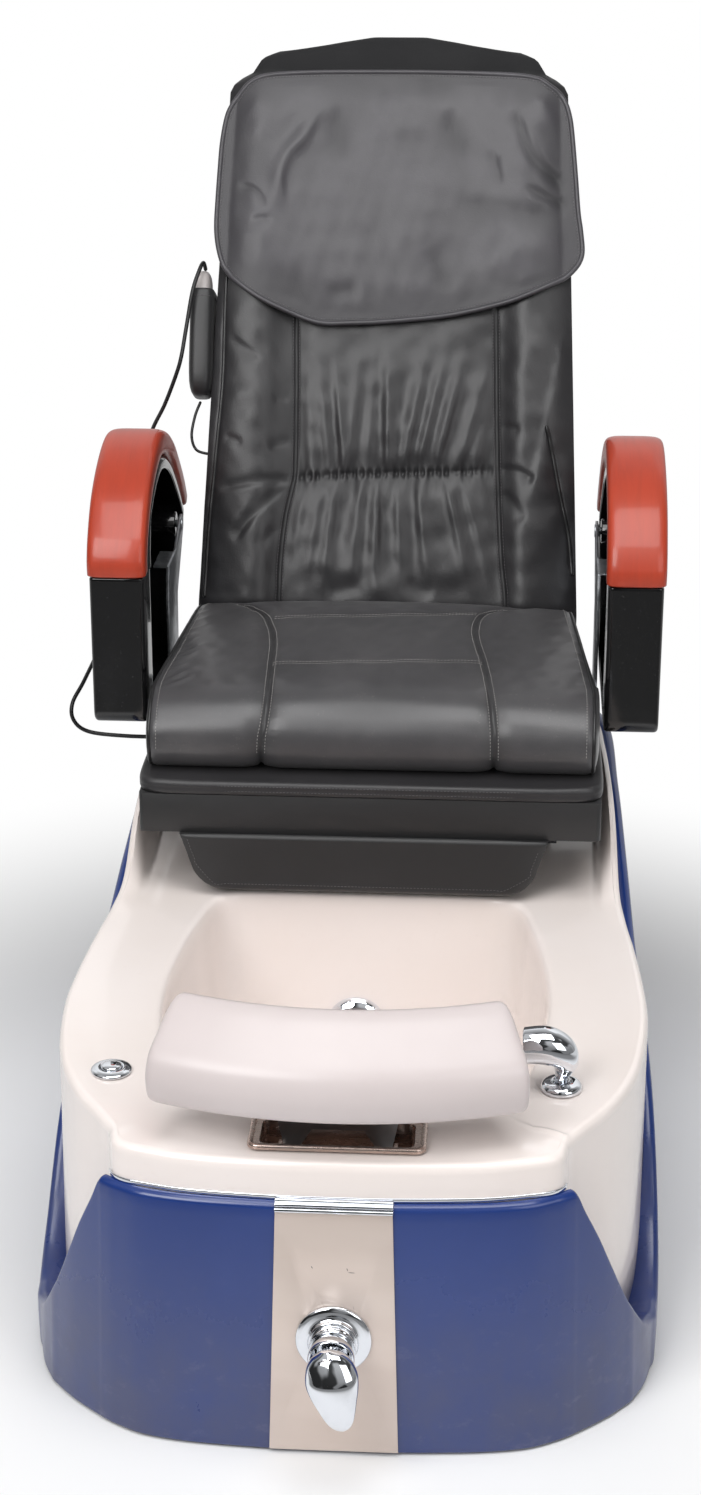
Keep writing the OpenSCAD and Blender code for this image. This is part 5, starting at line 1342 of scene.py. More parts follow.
TAPER = np.array([[0, 1], [0.894, 0.896], [0.907, 0.876], [0.918, 0.835], [0.928, 0.778], [0.954, 0.729],
                  [0.97, 0.632], [0.98, 0.444], [0.988, 0.32], [0.994, 0.21], [1, 0.16]])
BACK_FOOT = -14.0
FANS = {  # ridges off the gathered line: x at the line, x at the far end, width, height
    1: [(-112, -118, 10, 2.4), (-84, -100, 9, 4.0), (-64, -78, 7, 6.4), (-57, -47, 8, 6.0), (-30, -26, 8, 3.2),
        (-3, -5, 8, 7.0), (17, 47, 8, 6.8), (38, 74, 7, 6.4), (62, 100, 8, 6.6), (95, 138, 8, 4.6),
        (118, 150, 8, 2.6)],
    -1: [(-116, -146, 9, 3.4), (-92, -118, 9, 4.4), (-74, -92, 8, 6.4), (-38, -52, 8, 5.6), (-17, -18, 7, 6.6),
         (10, 20, 8, 4.8), (38, 58, 9, 6.4), (76, 116, 8, 5.6), (98, 148, 8, 4.6), (124, 160, 9, 3.0)],
}
FOLDS = [  # on the bolsters: line in x and height along the back, width, height, fade, lean
    ([(241, 397), (229, 312), (213, 218), (197, 147)], 8, 4.6, 0.2, -0.35),
    ([(166, 380), (172, 300), (170, 230)], 16, 2.4, 0.4, 0.0),
    ([(-170, 400), (-176, 300), (-180, 215)], 22, 2.6, 0.4, 0.0),
    ([(-165, 150), (-172, 100), (-178, 50)], 18, 2.4, 0.4, 0.0),
    ([(178, 150), (186, 100), (190, 50)], 18, 3.0, 0.4, 0.0),
]
CREASES = [  # sunk lines, written as the folds are
    ([(-133, 184), (-190, 180), (-245, 168)], 4.5, -2.6, 0.2, 0.3),
    ([(-146, 177), (-190, 134), (-219, 94)], 5.0, -3.0, 0.2, 0.3),
    ([(-233, 387), (-206, 368), (-179, 352)], 4.0, -1.8, 0.3, 0.2),
    ([(-236, 246), (-220, 240), (-204, 232)], 3.6, -1.6, 0.3, 0.2),
    ([(151, 205), (180, 200), (204, 186)], 5.0, -2.6, 0.2, 0.2),
    ([(156, 176), (178, 150), (190, 128)], 5.0, -2.4, 0.2, 0.2),
    ([(-150, 120), (-168, 104), (-178, 84)], 4.0, -1.5, 0.3, 0.2),
    ([(-137, 240), (-156, 236), (-172, 226)], 4.0, -1.5, 0.3, 0.2),
    ([(150, 262), (168, 262), (184, 254)], 4.0, -1.6, 0.3, 0.2),
    ([(-140, 300), (-156, 300), (-168, 296)], 4.0, -1.2, 0.3, 0.2),
    ([(20, 47), (44, 34), (70, 30)], 7.0, -2.2, 0.3, 0.0),
    ([(-36, 44), (-60, 32), (-92, 30)], 7.0, -2.0, 0.3, 0.0),
]
BACK_SEAMS = [
    [(-140, 470), (-137, 423), (-134, 318), (-133, 205), (-134, 187), (-145, 134), (-151, 71), (-152, 22),
     (-152, -12)],
    [(143, 470), (144, 427), (147, 322), (151, 210), (154, 150), (159, 77), (165, 28), (166, -12)],
]
GATHER = [(-135, 189), (-60, 194), (8, 197), (95, 200), (151, 203)]
PIPES = [
    [(-236, 470), (-237, 422), (-238, 316), (-246, 210), (-254, 104), (-257, 20)],
    [(218, 262), (227, 225), (239, 169), (252, 113), (258, 60)],
]


def back_half(s):
    return BACK_W/2*np.interp(np.asarray(s, float)/BACK_L, TAPER[:, 0], TAPER[:, 1])


def back_form(x, s):
    """Smooth depth of the padded front: a slow belly along it, bolsters standing up beyond the
    seams as a logistic step, and edges falling off with the eighth power of the distance out."""
    w = back_half(s)
    side = 1/(1 + np.exp(-(np.abs(x) - 168)/9))
    return 8*np.cos(np.pi*(s/BACK_L - 0.4)) + 16*side - 20*(np.abs(x)/w)**8


def back_relief(x, s):
    """Height added to that: folds fanning from the gathered line, creases, sunk seams, the shirred
    line itself with its fine puckers, and slow unevenness."""
    x, s = np.broadcast_arrays(np.asarray(x, float), np.asarray(s, float))
    size = bpy.context.scene.spa_sizes.folds
    out = np.zeros(x.shape)
    inside = 1/(1 + np.exp((np.abs(x - 6) - 138)/5))
    line_s = np.interp(x, [p[0] for p in GATHER], [p[1] for p in GATHER])
    d = s - line_s
    for way, ridges in FANS.items():
        t = np.clip(way*(d - 3*way)/165, 0, 1.15)
        rise = t**0.55*np.exp(-(t/0.85)**4)*(1.25 - 0.35*t)
        for low, high, width, height in ridges:
            off = x - low - (high - low)*t**0.9
            near = 1.2*width*(0.75 + 0.6*t)*np.where(off*way*(high - low) > 0, 0.8, 1.25)
            out = out + 1.2*size*inside*height*rise*np.exp(-np.abs(off/near)**1.8)
    for line, width, height, tail, lean in FOLDS:
        out = out + 0.8*size*line_bell(x, s, line, width*1.8, height, tail, lean)
    for line, width, height, tail, lean in CREASES:
        out = out + size*line_bell(x, s, line, width*1.7, height*0.9, tail, lean)
    out = out - inside*(1.2*np.exp(-(d/5.5)**2) + 3.6*np.exp(-(d/24)**2))
    rng = np.random.default_rng(3)
    shake = sum(np.sin(x*(0.52 + 0.07*k) + rng.uniform(0, 6)) for k in range(4))/2.0
    shake = np.sign(shake)*np.abs(shake)**0.75
    out = out + inside*2.8*shake*np.exp(-((d - 0.5)/6.2)**2)*(1 - 0.6*step(x, 88, 104))
    shallow = sum(np.sin(x*(0.16 + 0.04*k) + rng.uniform(0, 6)) for k in range(4))/2.2
    out = out + inside*1.5*shallow*np.exp(-(d/26)**2)
    for seam in BACK_SEAMS:
        out = out + line_bell(x, s, seam, 2.8, -3.4, 0.0) + line_bell(x, s, seam, 18, -3.2, 0.0)
    for pipe in PIPES:
        out = out + line_bell(x, s, pipe, 3.2, -1.6, 0.08) + line_bell(x, s, pipe, 12, -1.6, 0.08)
    out = out + 5.0*np.exp(-((x + 4)/26)**2 - ((s - 37)/24)**2)
    out = out + 4.0*np.exp(-((x + 74)/34)**2 - ((s - 62)/26)**2)
    out = out + 4.0*np.exp(-((x - 84)/34)**2 - ((s - 66)/28)**2)
    out = out + 1.5*ripples(x, s, 21, 10, 70, 180) + 0.5*ripples(x, s, 22, 12, 22, 55)
    return out*(1 - step(s, 392, 470)) + 0.8*step(s, 392, 470)*ripples(x, s, 23, 8, 90, 200)


def back_point(x, s, extra=0.0):
    """A point of the padded front, x across and s up the back, rounded away at both ends."""
    d = back_form(x, s) + back_relief(x, s) + extra
    end = np.minimum(s - BACK_FOOT, BACK_L - s)/34
    off = np.where(end < 1, 24*(1 - np.sqrt(np.clip(1 - (1 - end)**2, 0, 1))), 0)
    return on_back(np.stack([x, off - d, s], -1))


def back():
    """Back cushion: front columns spread by the sine of an angle so that they crowd at both edges,
    depth from back_form and back_relief, and a plain rear. Piping and thread lie on its seams."""
    s = np.r_[BACK_FOOT + 22*(1 - np.cos(np.linspace(0, np.pi/2, 9)))[:-1], np.linspace(9, 158, 54),
              np.linspace(160, 232, 58), np.linspace(234, 735, 150),
              BACK_L - 87*np.cos(np.linspace(0.02, np.pi/2, 26))**1.2]
    s = np.minimum(np.unique(np.round(s, 3)), BACK_L - 4)
    s = np.unique(s)
    a = np.radians(np.linspace(-90, 90, 331))
    w = back_half(s)
    x = w[:, None]*np.sin(a)
    sg = np.broadcast_to(s[:, None], x.shape)
    front = back_point(x, sg)
    relief = back_relief(x, sg)
    across = 1 - 2*np.arange(13)/12
    rear = on_back(np.stack([0.985*w[:, None]*across, np.full((len(s), len(across)), PAD_T - 4.3),
                             np.broadcast_to(s[:, None], (len(s), len(across)))], -1))
    shares = (0.25, 0.5, 0.75)
    right = np.stack([(1 - t)*front[:, -1] + t*rear[:, 0] + on_side(s, 1, t) for t in shares], 1)
    left = np.stack([t*front[:, 0] + (1 - t)*rear[:, -1] + on_side(s, -1, 1 - t) for t in shares], 1)
    rings = np.concatenate([front, right, rear, left], 1)
    # Painted shade: the sunk places get a mark that darkens the leather, the hood at the top is made near black
    # and duller by a large mark, and the sides and rear, tucked into the shell, get 0.6 of it.
    fold = np.clip(-relief/7.0, 0, 1) + 2.2*step(sg, 752, 768)
    fold = np.concatenate([fold, np.full((len(s), len(across) + 2*len(shares)), 0.6)], 1)
    thing = skin("back_pad", rings, finish("back_leather"), "back", ["back_cushion"])
    keep_mark(thing, "fold", fold)
    size = bpy.context.scene.spa_sizes
    for k, pipe in enumerate(PIPES):
        q = even(curve(pipe, 12), 110)
        rope(f"back_piping_{k}", back_point(q[:, 0], q[:, 1], 0.6), size.piping*1000, finish("piping"), "back",
             8)
    for k, seam in enumerate(BACK_SEAMS):
        q = even(curve(seam, 12), 160)
        q = q[(q[:, 1] > -4) & (q[:, 1] < 430)]
        for off, word in ((-4.2, "left"), (4.2, "right")):
            sewn(f"back_thread_{k}_{word}", back_point, q[:, 0] + off, q[:, 1], size.stitch*1000, "dark_thread",
                 "back", radius=0.45)


def on_side(s, hand, t):
    """Slight fullness of the cushion's sides, largest half way to the rear."""
    out = hand*2.2*math.sin(math.pi*t)*np.clip((BACK_L - s)/60, 0, 1)
    return np.column_stack([out, np.zeros(len(s)), np.zeros(len(s))])


FLAP_EDGE = [
    (-192, 756), (-212, 746), (-223, 734), (-238, 712), (-245, 692), (-250, 658), (-252, 624), (-254, 580),
    (-255, 540), (-252, 512), (-245, 487), (-237, 473), (-227, 462), (-194, 438), (-152, 418), (-105, 402),
    (-60, 402), (-18, 404),
    (35, 409), (87, 416), (156, 432), (190, 444), (218, 457), (238, 467), (252, 479), (262, 493), (266, 510),
    (263, 540), (259, 566), (254, 620), (248, 678), (244, 702), (238, 720), (228, 735), (215, 745), (191, 757),
    (120, 763), (44, 765), (-30, 765), (-97, 764), (-150, 761),
]
FLAP_FOLDS = [
    ([(-106, 718), (-129, 668), (-153, 640), (-163, 604), (-158, 555)], 7.0, 4.6, 0.3, 0.45),
    ([(-82, 725), (-84, 680), (-86, 626)], 9, -2.4, 0.4, 0.0),
    ([(162, 713), (186, 650), (215, 618), (250, 598)], 6.0, -3.4, 0.2, 0.4),
    ([(177, 601), (215, 583), (257, 570)], 4.5, -2.4, 0.25, 0.3),
    ([(130, 656), (140, 625), (149, 593)], 5.0, -2.2, 0.35, 0.3),
    ([(62, 712), (80, 670), (96, 628)], 12, -2.4, 0.4, 0.0),
    ([(-226, 596), (-198, 590), (-180, 562)], 4.0, -2.0, 0.3, 0.3),
    ([(-204, 547), (-186, 549), (-169, 548)], 4.0, -1.6, 0.35, 0.3),
    ([(46, 515), (68, 470), (86, 449)], 10, -2.4, 0.35, 0.0),
    ([(-96, 439), (-66, 450), (-40, 454)], 8, -1.8, 0.35, 0.0),
    ([(76, 578), (167, 562), (237, 549)], 12, -2.6, 0.3, 0.35),
    ([(-255, 646), (-240, 645), (-228, 641)], 2.6, -1.4, 0.3, 0.0),
    ([(-255, 590), (-242, 590), (-232, 588)], 2.4, -1.2, 0.3, 0.0),
    ([(260, 575), (246, 575), (236, 572)], 2.4, -1.2, 0.3, 0.0),
    ([(-160, 470), (-120, 500), (-80, 505)], 18, 2.0, 0.4, 0.0),
    ([(120, 470), (150, 500), (190, 520)], 18, 2.2, 0.4, 0.0),
    ([(-20, 740), (0, 690), (10, 640)], 26, 2.2, 0.4, 0.0),
    ([(190, 735), (205, 700), (215, 672)], 10, 2.2, 0.35, 0.0),
    ([(-205, 730), (-196, 690), (-200, 650)], 10, 2.0, 0.35, 0.0),
]


FLAP_T, FLAP_SWELL = 5.0, 3.2


def flap_form(x, s):
    """The padded front's form with the step of its bolsters eased."""
    w = back_half(s) - 12
    x, s = np.clip(x, -w, w), np.minimum(s, 758)
    ease = 1/(1 + np.exp(-(np.abs(x) - 160)/26)) - 1/(1 + np.exp(-(np.abs(x) - 168)/9))
    return back_form(x, s) + 16*ease + 6.0


def flap_relief(x, s, share):
    """Folds of the head flap, a broad padded swell that dies out before the edge, and ripples."""
    size = bpy.context.scene.spa_sizes.folds
    out = FLAP_SWELL*(1 - step(share, 0.70, 0.97))
    inner = 1 - step(share, 0.90, 0.985)
    for line, width, height, tail, lean in FLAP_FOLDS:
        out = out + size*inner*line_bell(x, s, line, width*1.6, height*1.1, tail, lean*0.6)
    return out + inner*(1.3*ripples(x, s, 31, 9, 90, 220) + 0.4*ripples(x, s, 32, 10, 26, 60))


def head_flap():
    """Flap over the top of the back: rings shrinking from its outline towards its middle, following
    the padded front under it, with a bound edge, and a rear face close behind."""
    edge = even(curve(FLAP_EDGE, 8, closed=True), 460, closed=True)
    middle = np.array([0.0, 590.0])
    o = -outward(edge) if np.sum(outward(edge)*(edge - middle)) < 0 else outward(edge)

    def inside(share, inset):
        return middle + share*(edge - inset*o - middle)

    def over(q, up):
        return np.stack([q[:, 0], -(flap_form(q[:, 0], q[:, 1]) + up), q[:, 1]], -1)

    shares = 1 - np.linspace(0, 1, 84)[:-1]**1.05
    rings, marks = [], []
    for share in shares[::-1]:
        q = inside(share, 7.5)
        r = flap_relief(q[:, 0], q[:, 1], np.full(len(q), share))
        rings.append(over(q, FLAP_T + r))
        # Painted shade: where the flap sinks below its swell the mark darkens the leather.
        marks.append(np.clip(-(r - FLAP_SWELL)/7.0, 0, 1)*(share > 0.02))
    for inset, up in ((6.9, 0.0), (6.4, 0.5), (5.6, 1.2), (4.2, 1.8), (2.8, 1.8), (1.4, 1.2), (0.5, 0.1),
                      (0.1, -1.2), (0.0, -2.6), (0.3, -3.9), (1.2, -4.8)):
        rings.append(over(edge - inset*o, FLAP_T + up))
        # Painted shade: the foot of the bound edge is darkened by half.
        marks.append(np.full(len(edge), 0.5 if inset > 6 else 0.0))
    for share in (0.98, 0.9, 0.7, 0.4, 0.1):
        rings.append(over(inside(share, 3.0), 0.0))
        marks.append(np.zeros(len(edge)))
    thing = skin("head_cloth", on_back(np.array(rings)), finish("flap_leather"), "back",
                 ["head_flap"])
    keep_mark(thing, "fold", np.array(marks))
    line = on_back(over(edge - 9.0*o, FLAP_T + 0.2))
    line = np.vstack([line, line[:1]])
    up = np.tile(on_back(np.array([0, -1.0, 0])) - on_back(np.zeros(3)), (len(line), 1))
    stitches("head_thread", line, up, bpy.context.scene.spa_sizes.stitch*1000, finish("dark_thread"), "back",
             radius=0.4)


ARCH = 61             # points of the shell's arch at each height
CASE_RISE, CASE_T = 58, 5.0


def back_case():
    """Hard rear shell: the arched section of the shell at each height, outside and inside, with the
    same arch carried in to the front plane near the top. The arch rises by the square root of one
    less the cube of the distance out."""
    s = np.r_[8, 14, 40, np.linspace(80, 700, 22), BACK_L - 87*np.cos(np.linspace(0, np.pi/2, 18))**1.15]
    s = np.minimum(np.unique(np.round(s, 2)), BACK_L - 5)
    s = np.unique(s)
    c = np.cos(np.pi*np.arange(ARCH)/(ARCH - 1))

    def wall(inset, x, w):
        return PAD_T + 8 + (CASE_RISE - inset)*np.sqrt(np.clip(1 - np.abs(x/w)**3, 0, 1))

    rings = []
    for v in s:
        w = float(back_half(v))
        x = w*c
        outer = np.column_stack([x, wall(0, x, w), np.full(ARCH, v)])
        t = min(CASE_T, 0.5*w)
        xi = (w - t)*c[::-1]
        shut_in = step(v, BACK_L - 96, BACK_L - 74)
        yi = wall(CASE_T, xi, w - t)*(1 - shut_in) + (PAD_T - 2.5)*shut_in
        inner = np.column_stack([xi, yi, np.full(ARCH, v)])
        lip = [[-w, PAD_T - 4, v], [-(w - t), PAD_T - 4, v]]
        lip2 = [[w - t, PAD_T - 4, v], [w, PAD_T - 4, v]]
        rings.append(np.vstack([outer, lip, inner, lip2]))
    rings = on_back(np.array(rings))
    n, m = rings.shape[:2]
    points = rings.reshape(-1, 3)
    faces = [net(n, m)]
    # Strips between the outer and inner lines close both ends
    j, last, half = np.arange(ARCH - 1), ARCH - 1, ARCH + 2
    for base, flip in ((0, False), ((n - 1)*m, True)):
        f = base + np.stack([j, j + 1, half + last - 1 - j, half + last - j], 1)
        lips = [[last, last + 1, last + 2, half], [half + last, half + last + 1, m - 1, 0]]
        f = np.vstack([f, base + np.array(lips)])
        faces.append(f[:, ::-1] if flip else f)
    piece("back_case", points, facing_out(points, faces), finish("black_gloss"), "back",
          ["back_shell"])


POUCH_X, POUCH_Y, REMOTE_X, REMOTE_Y = 17, 37, 11.5, 28   # half sizes


def pouch_and_remote():
    """Open pouch on the side of the back, its wall a rounded loop at each height with a rolled
    mouth, and the remote standing in it."""
    at = np.array([-(float(back_half(347)) + POUCH_X + 0.3), 15, 302])
    a = 2*np.pi*np.arange(72)/72
    shape = np.stack([power(np.cos(a), 0.55), power(np.sin(a), 0.4)], 1)
    outer = [(0.45, 0), (0.62, 1.5), (0.78, 6), (0.88, 12), (0.95, 20), (0.985, 32), (1, 45), (1, 70), (1, 95),
             (1, 120), (1, 144), (0.985, 148.6), (0.95, 150)]
    rings = [np.column_stack([shape*[POUCH_X*s, POUCH_Y*s], np.full(72, float(z))]) for s, z in outer]
    rings += [np.column_stack([shape*[13.6, 31.2], np.full(72, z)]) for z in (149.4, 146.0, 100.0, 50.0, 15.0)]
    skin("remote_sleeve", on_back(np.array(rings) + at), finish("fascia_leather"), "back",
         ["remote_pouch"])
    line = np.column_stack([shape*[POUCH_X + 0.2, POUCH_Y + 0.2], np.full(72, 139.0)]) + at
    line = on_back(np.vstack([line, line[:1]]))
    middle = on_back(at + [0, 0, 139])
    stitches("sleeve_thread", line, line - middle, 4.0, finish("dark_thread"), "back")
    rings = []
    for s, z in ((0.66, 0), (0.84, 1.2), (0.95, 4), (1, 10), (1, 60), (1, 118), (0.99, 134), (0.95, 146),
                 (0.88, 153), (0.78, 157.5), (0.64, 160.4), (0.45, 162)):
        rings.append(np.column_stack([power(np.cos(a), 0.62)*REMOTE_X*s, power(np.sin(a), 0.62)*REMOTE_Y*s,
                                      np.full(72, 16.0 + z)]))
    skin("handset", on_back(eased(rings, 2) + at), finish("remote_shell"), "remote", ["remote"])


# ---------------------------------------------------------------- cords

CORD = [
    (-268, 1297, 1046), (-269, 1280, 1058), (-273, 1262, 1050), (-281, 1246, 1024), (-289, 1228, 975),
    (-295, 1214, 938), (-303, 1214, 912), (-322, 1228, 866), (-346, 1250, 818), (-366, 1262, 750),
    (-380, 1240, 680), (-388, 1160, 615), (-396, 1060, 568), (-410, 985, 536), (-422, 952, 514),
    (-420, 944, 492), (-400, 946, 475), (-350, 948, 469), (-295, 950, 468),
]
TIE = [(-272, 1235, 868), (-279, 1227, 850), (-283, 1216, 824), (-276, 1212, 805), (-257, 1212, 799)]


def cords():
    """The remote's cord from the side of the deck up into the pouch, and the short tie below the
    pouch: round sheaths along smooth lines. The cord rides on no body."""
    line = curve(CORD, 10)[::-1]
    thing = rope("handset_cord", line, 2.8, finish("cord"), "back", 12, ["remote_cord"])
    thing.parent = None
    del thing["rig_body"]
    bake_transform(thing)
    line = curve(TIE, 10)[::-1]
    thing = rope("sleeve_tie", line, 2.0, finish("cord"), "back", 10, ["pouch_tie"])


def water_hoses():
    """Braided supply hoses and the clear air tube under the deck."""
    path = np.array([[66.4, 58.8, 142], [84, 60, 142], [112, 68, 138], [150, 90, 122], [212, 150, 100],
                     [226, 400, 92], [210, 700, 92], [180, 900, 92], [180, 1150, 92]], float)
    for k, hand in enumerate((1, -1)):
        line = curve(path*[hand, 1, 1], 6)
        rope(f"water_hose_{k}", line, 8, finish("braid"), "base", 12, ["supply_hoses"])
    air = np.array([[-262, 204, 309], [-262, 205, 285], [-274, 236, 250], [-288, 400, 230], [-244, 620, 235],
                    [-150, 722, 240], [-100, 828, 258], [-74, 870, 269.5], [-61.2, 873, 270]], float)
    rope("air_line", curve(air, 6), 3, finish("clear_tube"), "base", 8, ["air_tube"])


# ---------------------------------------------------------------- the model's own solids

KEPT = {  # node: finish, bevel in metres
    "front_panel": ("brushed", 0.0004), "valve_body": ("chrome", 0.0008), "valve_stem": ("chrome", 0.0003),
    "footrest_well": ("tray", 0.0), "footrest_pin": ("steel", 0.0006), "footrest_bracket": ("steel", 0.0005),
    "jet_cover": ("chrome", 0.0003), "jet_impeller": ("black_plastic", 0.0), "jet_pump": ("black_plastic", 0.0008),
    "drain_strainer": ("chrome", 0.0003), "drain_pipe": ("pipe", 0.0), "base_frame": ("frame_paint", 0.0006),
    "levelling_feet": ("rubber", 0.0008), "seat_rails": ("zinc", 0.0003), "control_box": ("black_plastic", 0.0012),
    "spray_hose": ("braid", 0.0), "rail_carriages": ("zinc", 0.0004), "seat_frame": ("frame_paint", 0.0005),
    "deck_board": ("fascia_leather", 0.0012), "arm_bracket_left": ("zinc", 0.0004),
    "arm_bracket_right": ("zinc", 0.0004), "back_hinge_pin": ("steel", 0.0004),
    "recline_actuator": ("black_plastic", 0.0006), "actuator_rod": ("steel", 0.0003),
    "back_frame": ("frame_paint", 0.0004), "massage_carriage": ("zinc", 0.0005),
    "massage_rollers": ("rubber", 0.0006),
}


def own_solids():
    """Finishes and softened edges of the nodes that nothing stands for."""
    for name, (word, bevel) in KEPT.items():
        finish_node(name, finish(word), bevel)


# ---------------------------------------------------------------- floor, light and camera

WHITE = (1, 1, 1, 1)


def floor_finish():
    """Pale floor that fades to plain white away from the chair when seen or mirrored."""
    f = Finish("pale_floor")
    x, y = f.height("X"), f.height("Y")
    far = (x*x + (y + 0.05)*(y + 0.05))**0.5
    grain = f.noise(3.0, 3.0, 0.5)
    tint = f.mix(grain, [0.86, 0.86, 0.865, 1], [0.89, 0.89, 0.89, 1])
    base = f.node("ShaderNodeBsdfPrincipled", None,
                  {"Base Color": tint, "Roughness": 0.75, "Specular IOR Level": 0.1})
    seen = f.node("ShaderNodeLightPath", out="Is Camera Ray")
    mirrored_ray = f.node("ShaderNodeLightPath", out="Is Glossy Ray")
    side = f.node("ShaderNodeMath", {"operation": "ABSOLUTE"}, [x])
    lit = 0.15 + 0.6*(y + 0.5*side).above(-0.1, 1.2)
    glow = f.node("ShaderNodeEmission", None, {"Color": WHITE, "Strength": seen + lit*mirrored_ray})
    share = far.above(0.62, 1.35)*seen + 0.85*far.above(0.95, 1.5)*mirrored_ray
    f.end("ShaderNodeOutputMaterial", f.node("ShaderNodeMixShader", None, [share, base, glow]))
    return f.material


LAMPS = [  # name, place, aim, size, watts
    ("key", (-1.4, -2.7, 2.7), (0, 0.3, 0.7), (1.7, 1.7), 62),
    ("fill", (2.2, -2.6, 2.0), (0, 0.2, 0.6), (1.8, 1.8), 20),
    ("top", (0.2, -1.0, 3.3), (0, 0.5, 0.6), (2.4, 1.8), 58),
]
FLOOR_R = 12.0


def studio():
    """Floor, white surroundings, soft lights and the camera."""
    scene = bpy.context.scene
    mesh = bpy.data.meshes.new("floor")
    a = 2*np.pi*np.arange(64)/64
    ring = np.column_stack([FLOOR_R*np.cos(a), FLOOR_R*np.sin(a), np.zeros(64)])
    mesh.from_pydata(ring.tolist(), [], [list(range(64))])
    mesh.materials.append(floor_finish())
    floor = bpy.data.objects.new("floor", mesh)
    scene.collection.objects.link(floor)

    # Mirrored surroundings: dim in front at eye level, lighter overhead and behind the chair
    world = Surroundings("surroundings")
    scene.world = world.world
    sky = world.height("Z").above(0.15, 0.8, 0.10, 0.26)
    patch = world.noise(1.7, 1.0, 0.4).above(0.44, 0.58, 0.25, 2.2)
    rear = world.height("Y").above(0.0, 0.75, 0.0, 0.55)

    def glow(strength):
        return world.node("ShaderNodeBackground", None, {"Color": WHITE, "Strength": strength})

    def chosen(share, first, second):
        path = world.node("ShaderNodeLightPath", out=share)
        return world.node("ShaderNodeMixShader", None, [path, first, second])

    around = chosen("Is Glossy Ray", glow(0.30), glow(sky*patch + rear))
    around = chosen("Is Transmission Ray", around, glow(1.0))
    world.end("ShaderNodeOutputWorld", chosen("Is Camera Ray", around, glow(1.0)))

    for name, place, aim, size, watts in LAMPS:
        light = bpy.data.lights.new(name, "AREA")
        light.shape = "RECTANGLE"
        light.size, light.size_y = size
        light.energy = watts
        lamp = bpy.data.objects.new(name, light)
        lamp.location = place
        d = np.array(aim) - np.array(place)
        lamp.rotation_euler = (math.atan2(math.hypot(d[0], d[1]), -d[2]), 0, math.atan2(-d[0], d[1]))
        scene.collection.objects.link(lamp)

    lens = bpy.data.cameras.new("camera")
    lens.sensor_width = 36
    lens.lens = 62.2
    lens.clip_end = 60
    camera = bpy.data.objects.new("camera", lens)
    camera.location = (0.164, -3.075, 1.718)
    camera.rotation_euler = (math.radians(69.10), 0, math.radians(3.56))
    scene.collection.objects.link(camera)
    scene.camera = camera
    scene.render.resolution_x, scene.render.resolution_y = 701, 1495
    scene.view_settings.view_transform = "Standard"


# ---------------------------------------------------------------- add-on

class SpaSizes(PropertyGroup):
    """Sizes of the sewn detail."""
    folds: FloatProperty(name="Folds", description="Height of the leather's folds, as a share of the drawn one",
                         default=1.0, min=0.0, max=2.0)
    piping: FloatProperty(name="Piping", description="Radius of the piping along sewn edges", default=0.0028,
                          min=0.001, max=0.006, unit="LENGTH")
    stitch: FloatProperty(name="Stitch pitch", description="Distance from one stitch to the next", default=0.0044,
                          min=0.002, max=0.01, unit="LENGTH")


class SpaColours(PropertyGroup):
    """Main colours of the chair."""
    shell: FloatVectorProperty(name="Base", description="Colour of the base's skirt", subtype="COLOR", size=4,
                               default=tone("1a3474"), min=0.0, max=1.0)
    arm_pads: FloatVectorProperty(name="Arm pads", description="Colour of the lacquered arm pads", subtype="COLOR",
                                  size=4, default=tone("aa3416"), min=0.0, max=1.0)


class SPA_OT_camera(Operator):
    """Adds the floor, the surroundings, the lights and the camera"""
    bl_idname = "spa.studio"
    bl_label = "Floor, light and camera"
    bl_options = {"UNDO"}

    def execute(self, context):
        studio()
        return {"FINISHED"}


class SPA_OT_cords(Operator):
    """Adds the remote's cord, the pouch's tie and the hoses under the deck"""
    bl_idname = "spa.cords"
    bl_label = "Cords and hoses"
    bl_options = {"UNDO"}

    def execute(self, context):
        cords()
        water_hoses()
        return {"FINISHED"}


class SPA_OT_base(Operator):
    """Adds the blue skirt, the white tub and the chrome strips on them"""
    bl_idname = "spa.base"
    bl_label = "Base and tub"
    bl_options = {"UNDO"}

    def execute(self, context):
        base_shell()
        tub()
        nose_strip()
        ribbed_cap()
        return {"FINISHED"}


class SPA_OT_fittings(Operator):
    """Adds the mixer valve, the air button and the hand spray"""
    bl_idname = "spa.fittings"
    bl_label = "Fittings"
    bl_options = {"UNDO"}

    def execute(self, context):
        valve()
        button_and_spray()
        return {"FINISHED"}


class SPA_OT_footrest(Operator):
    """Adds the footrest's moulded pad"""
    bl_idname = "spa.footrest"
    bl_label = "Footrest pad"
    bl_options = {"UNDO"}

    def execute(self, context):
        footrest_parts()
        return {"FINISHED"}


class SPA_OT_seat(Operator):
    """Adds the seat cushion with its seams, piping and thread"""
    bl_idname = "spa.seat"
    bl_label = "Seat cushion"
    bl_options = {"UNDO"}

    def execute(self, context):
        seat()
        return {"FINISHED"}


class SPA_OT_deck(Operator):
    """Adds the padded lid under the seat and the skirt that hangs from it"""
    bl_idname = "spa.deck"
    bl_label = "Deck lid and skirt"
    bl_options = {"UNDO"}

    def execute(self, context):
        deck()
        return {"FINISHED"}


class SPA_OT_arms(Operator):
    """Adds the lacquered arm pads and the arms' black mouldings"""
    bl_idname = "spa.arms"
    bl_label = "Arm pads"
    bl_options = {"UNDO"}

    def execute(self, context):
        arm_pads()
        arm_shells()
        return {"FINISHED"}


class SPA_OT_back(Operator):
    """Adds the back cushion with its folds, and the hard shell behind it"""
    bl_idname = "spa.back"
    bl_label = "Backrest"
    bl_options = {"UNDO"}

    def execute(self, context):
        back()
        back_case()
        return {"FINISHED"}


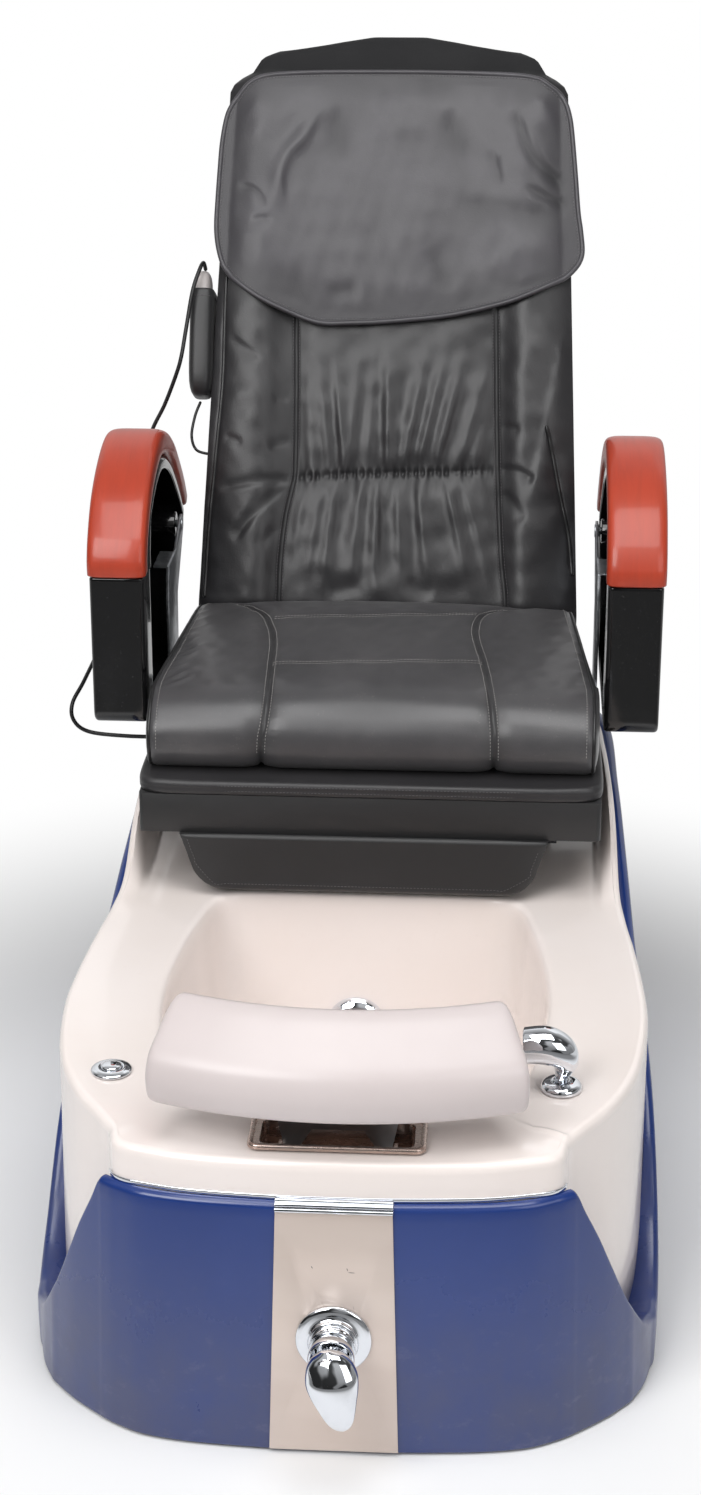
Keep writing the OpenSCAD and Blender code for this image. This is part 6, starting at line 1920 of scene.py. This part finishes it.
class SPA_OT_flap(Operator):
    """Adds the flap over the head end of the back"""
    bl_idname = "spa.flap"
    bl_label = "Head flap"
    bl_options = {"UNDO"}

    def execute(self, context):
        head_flap()
        return {"FINISHED"}


class SPA_OT_remote(Operator):
    """Adds the pouch on the side of the back, and the remote in it"""
    bl_idname = "spa.remote"
    bl_label = "Pouch and remote"
    bl_options = {"UNDO"}

    def execute(self, context):
        pouch_and_remote()
        return {"FINISHED"}


class SPA_OT_solids(Operator):
    """Gives the model's own solids their finishes and softened edges"""
    bl_idname = "spa.solids"
    bl_label = "Finishes of the solids"
    bl_options = {"UNDO"}

    def execute(self, context):
        own_solids()
        return {"FINISHED"}


STEPS = (SPA_OT_camera, SPA_OT_cords, SPA_OT_solids, SPA_OT_base, SPA_OT_fittings, SPA_OT_footrest, SPA_OT_deck,
         SPA_OT_seat, SPA_OT_arms, SPA_OT_back, SPA_OT_flap, SPA_OT_remote)


class SPA_PT_panel(Panel):
    """Lists the chair's parts"""
    bl_idname = "SPA_PT_panel"
    bl_label = "Spa chair"
    bl_space_type = "VIEW_3D"
    bl_region_type = "UI"
    bl_category = "Spa chair"

    def draw(self, context):
        layout = self.layout
        for name in ("folds", "piping", "stitch"):
            layout.prop(context.scene.spa_sizes, name)
        for name in ("shell", "arm_pads"):
            layout.prop(context.scene.spa_colours, name)
        for step_class in STEPS:
            layout.operator(step_class.bl_idname)


CLASSES = (SpaSizes, SpaColours) + STEPS + (SPA_PT_panel,)


def register():
    for made in CLASSES:
        bpy.utils.register_class(made)
    bpy.types.Scene.spa_sizes = PointerProperty(type=SpaSizes)
    bpy.types.Scene.spa_colours = PointerProperty(type=SpaColours)


def unregister():
    del bpy.types.Scene.spa_colours
    del bpy.types.Scene.spa_sizes
    for made in reversed(CLASSES):
        bpy.utils.unregister_class(made)


def main():
    """Registers the add-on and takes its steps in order."""
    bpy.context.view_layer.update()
    register()
    for step_class in STEPS:
        group, name = step_class.bl_idname.split(".")
        getattr(getattr(bpy.ops, group), name)()


if __name__ == "__main__":
    main()
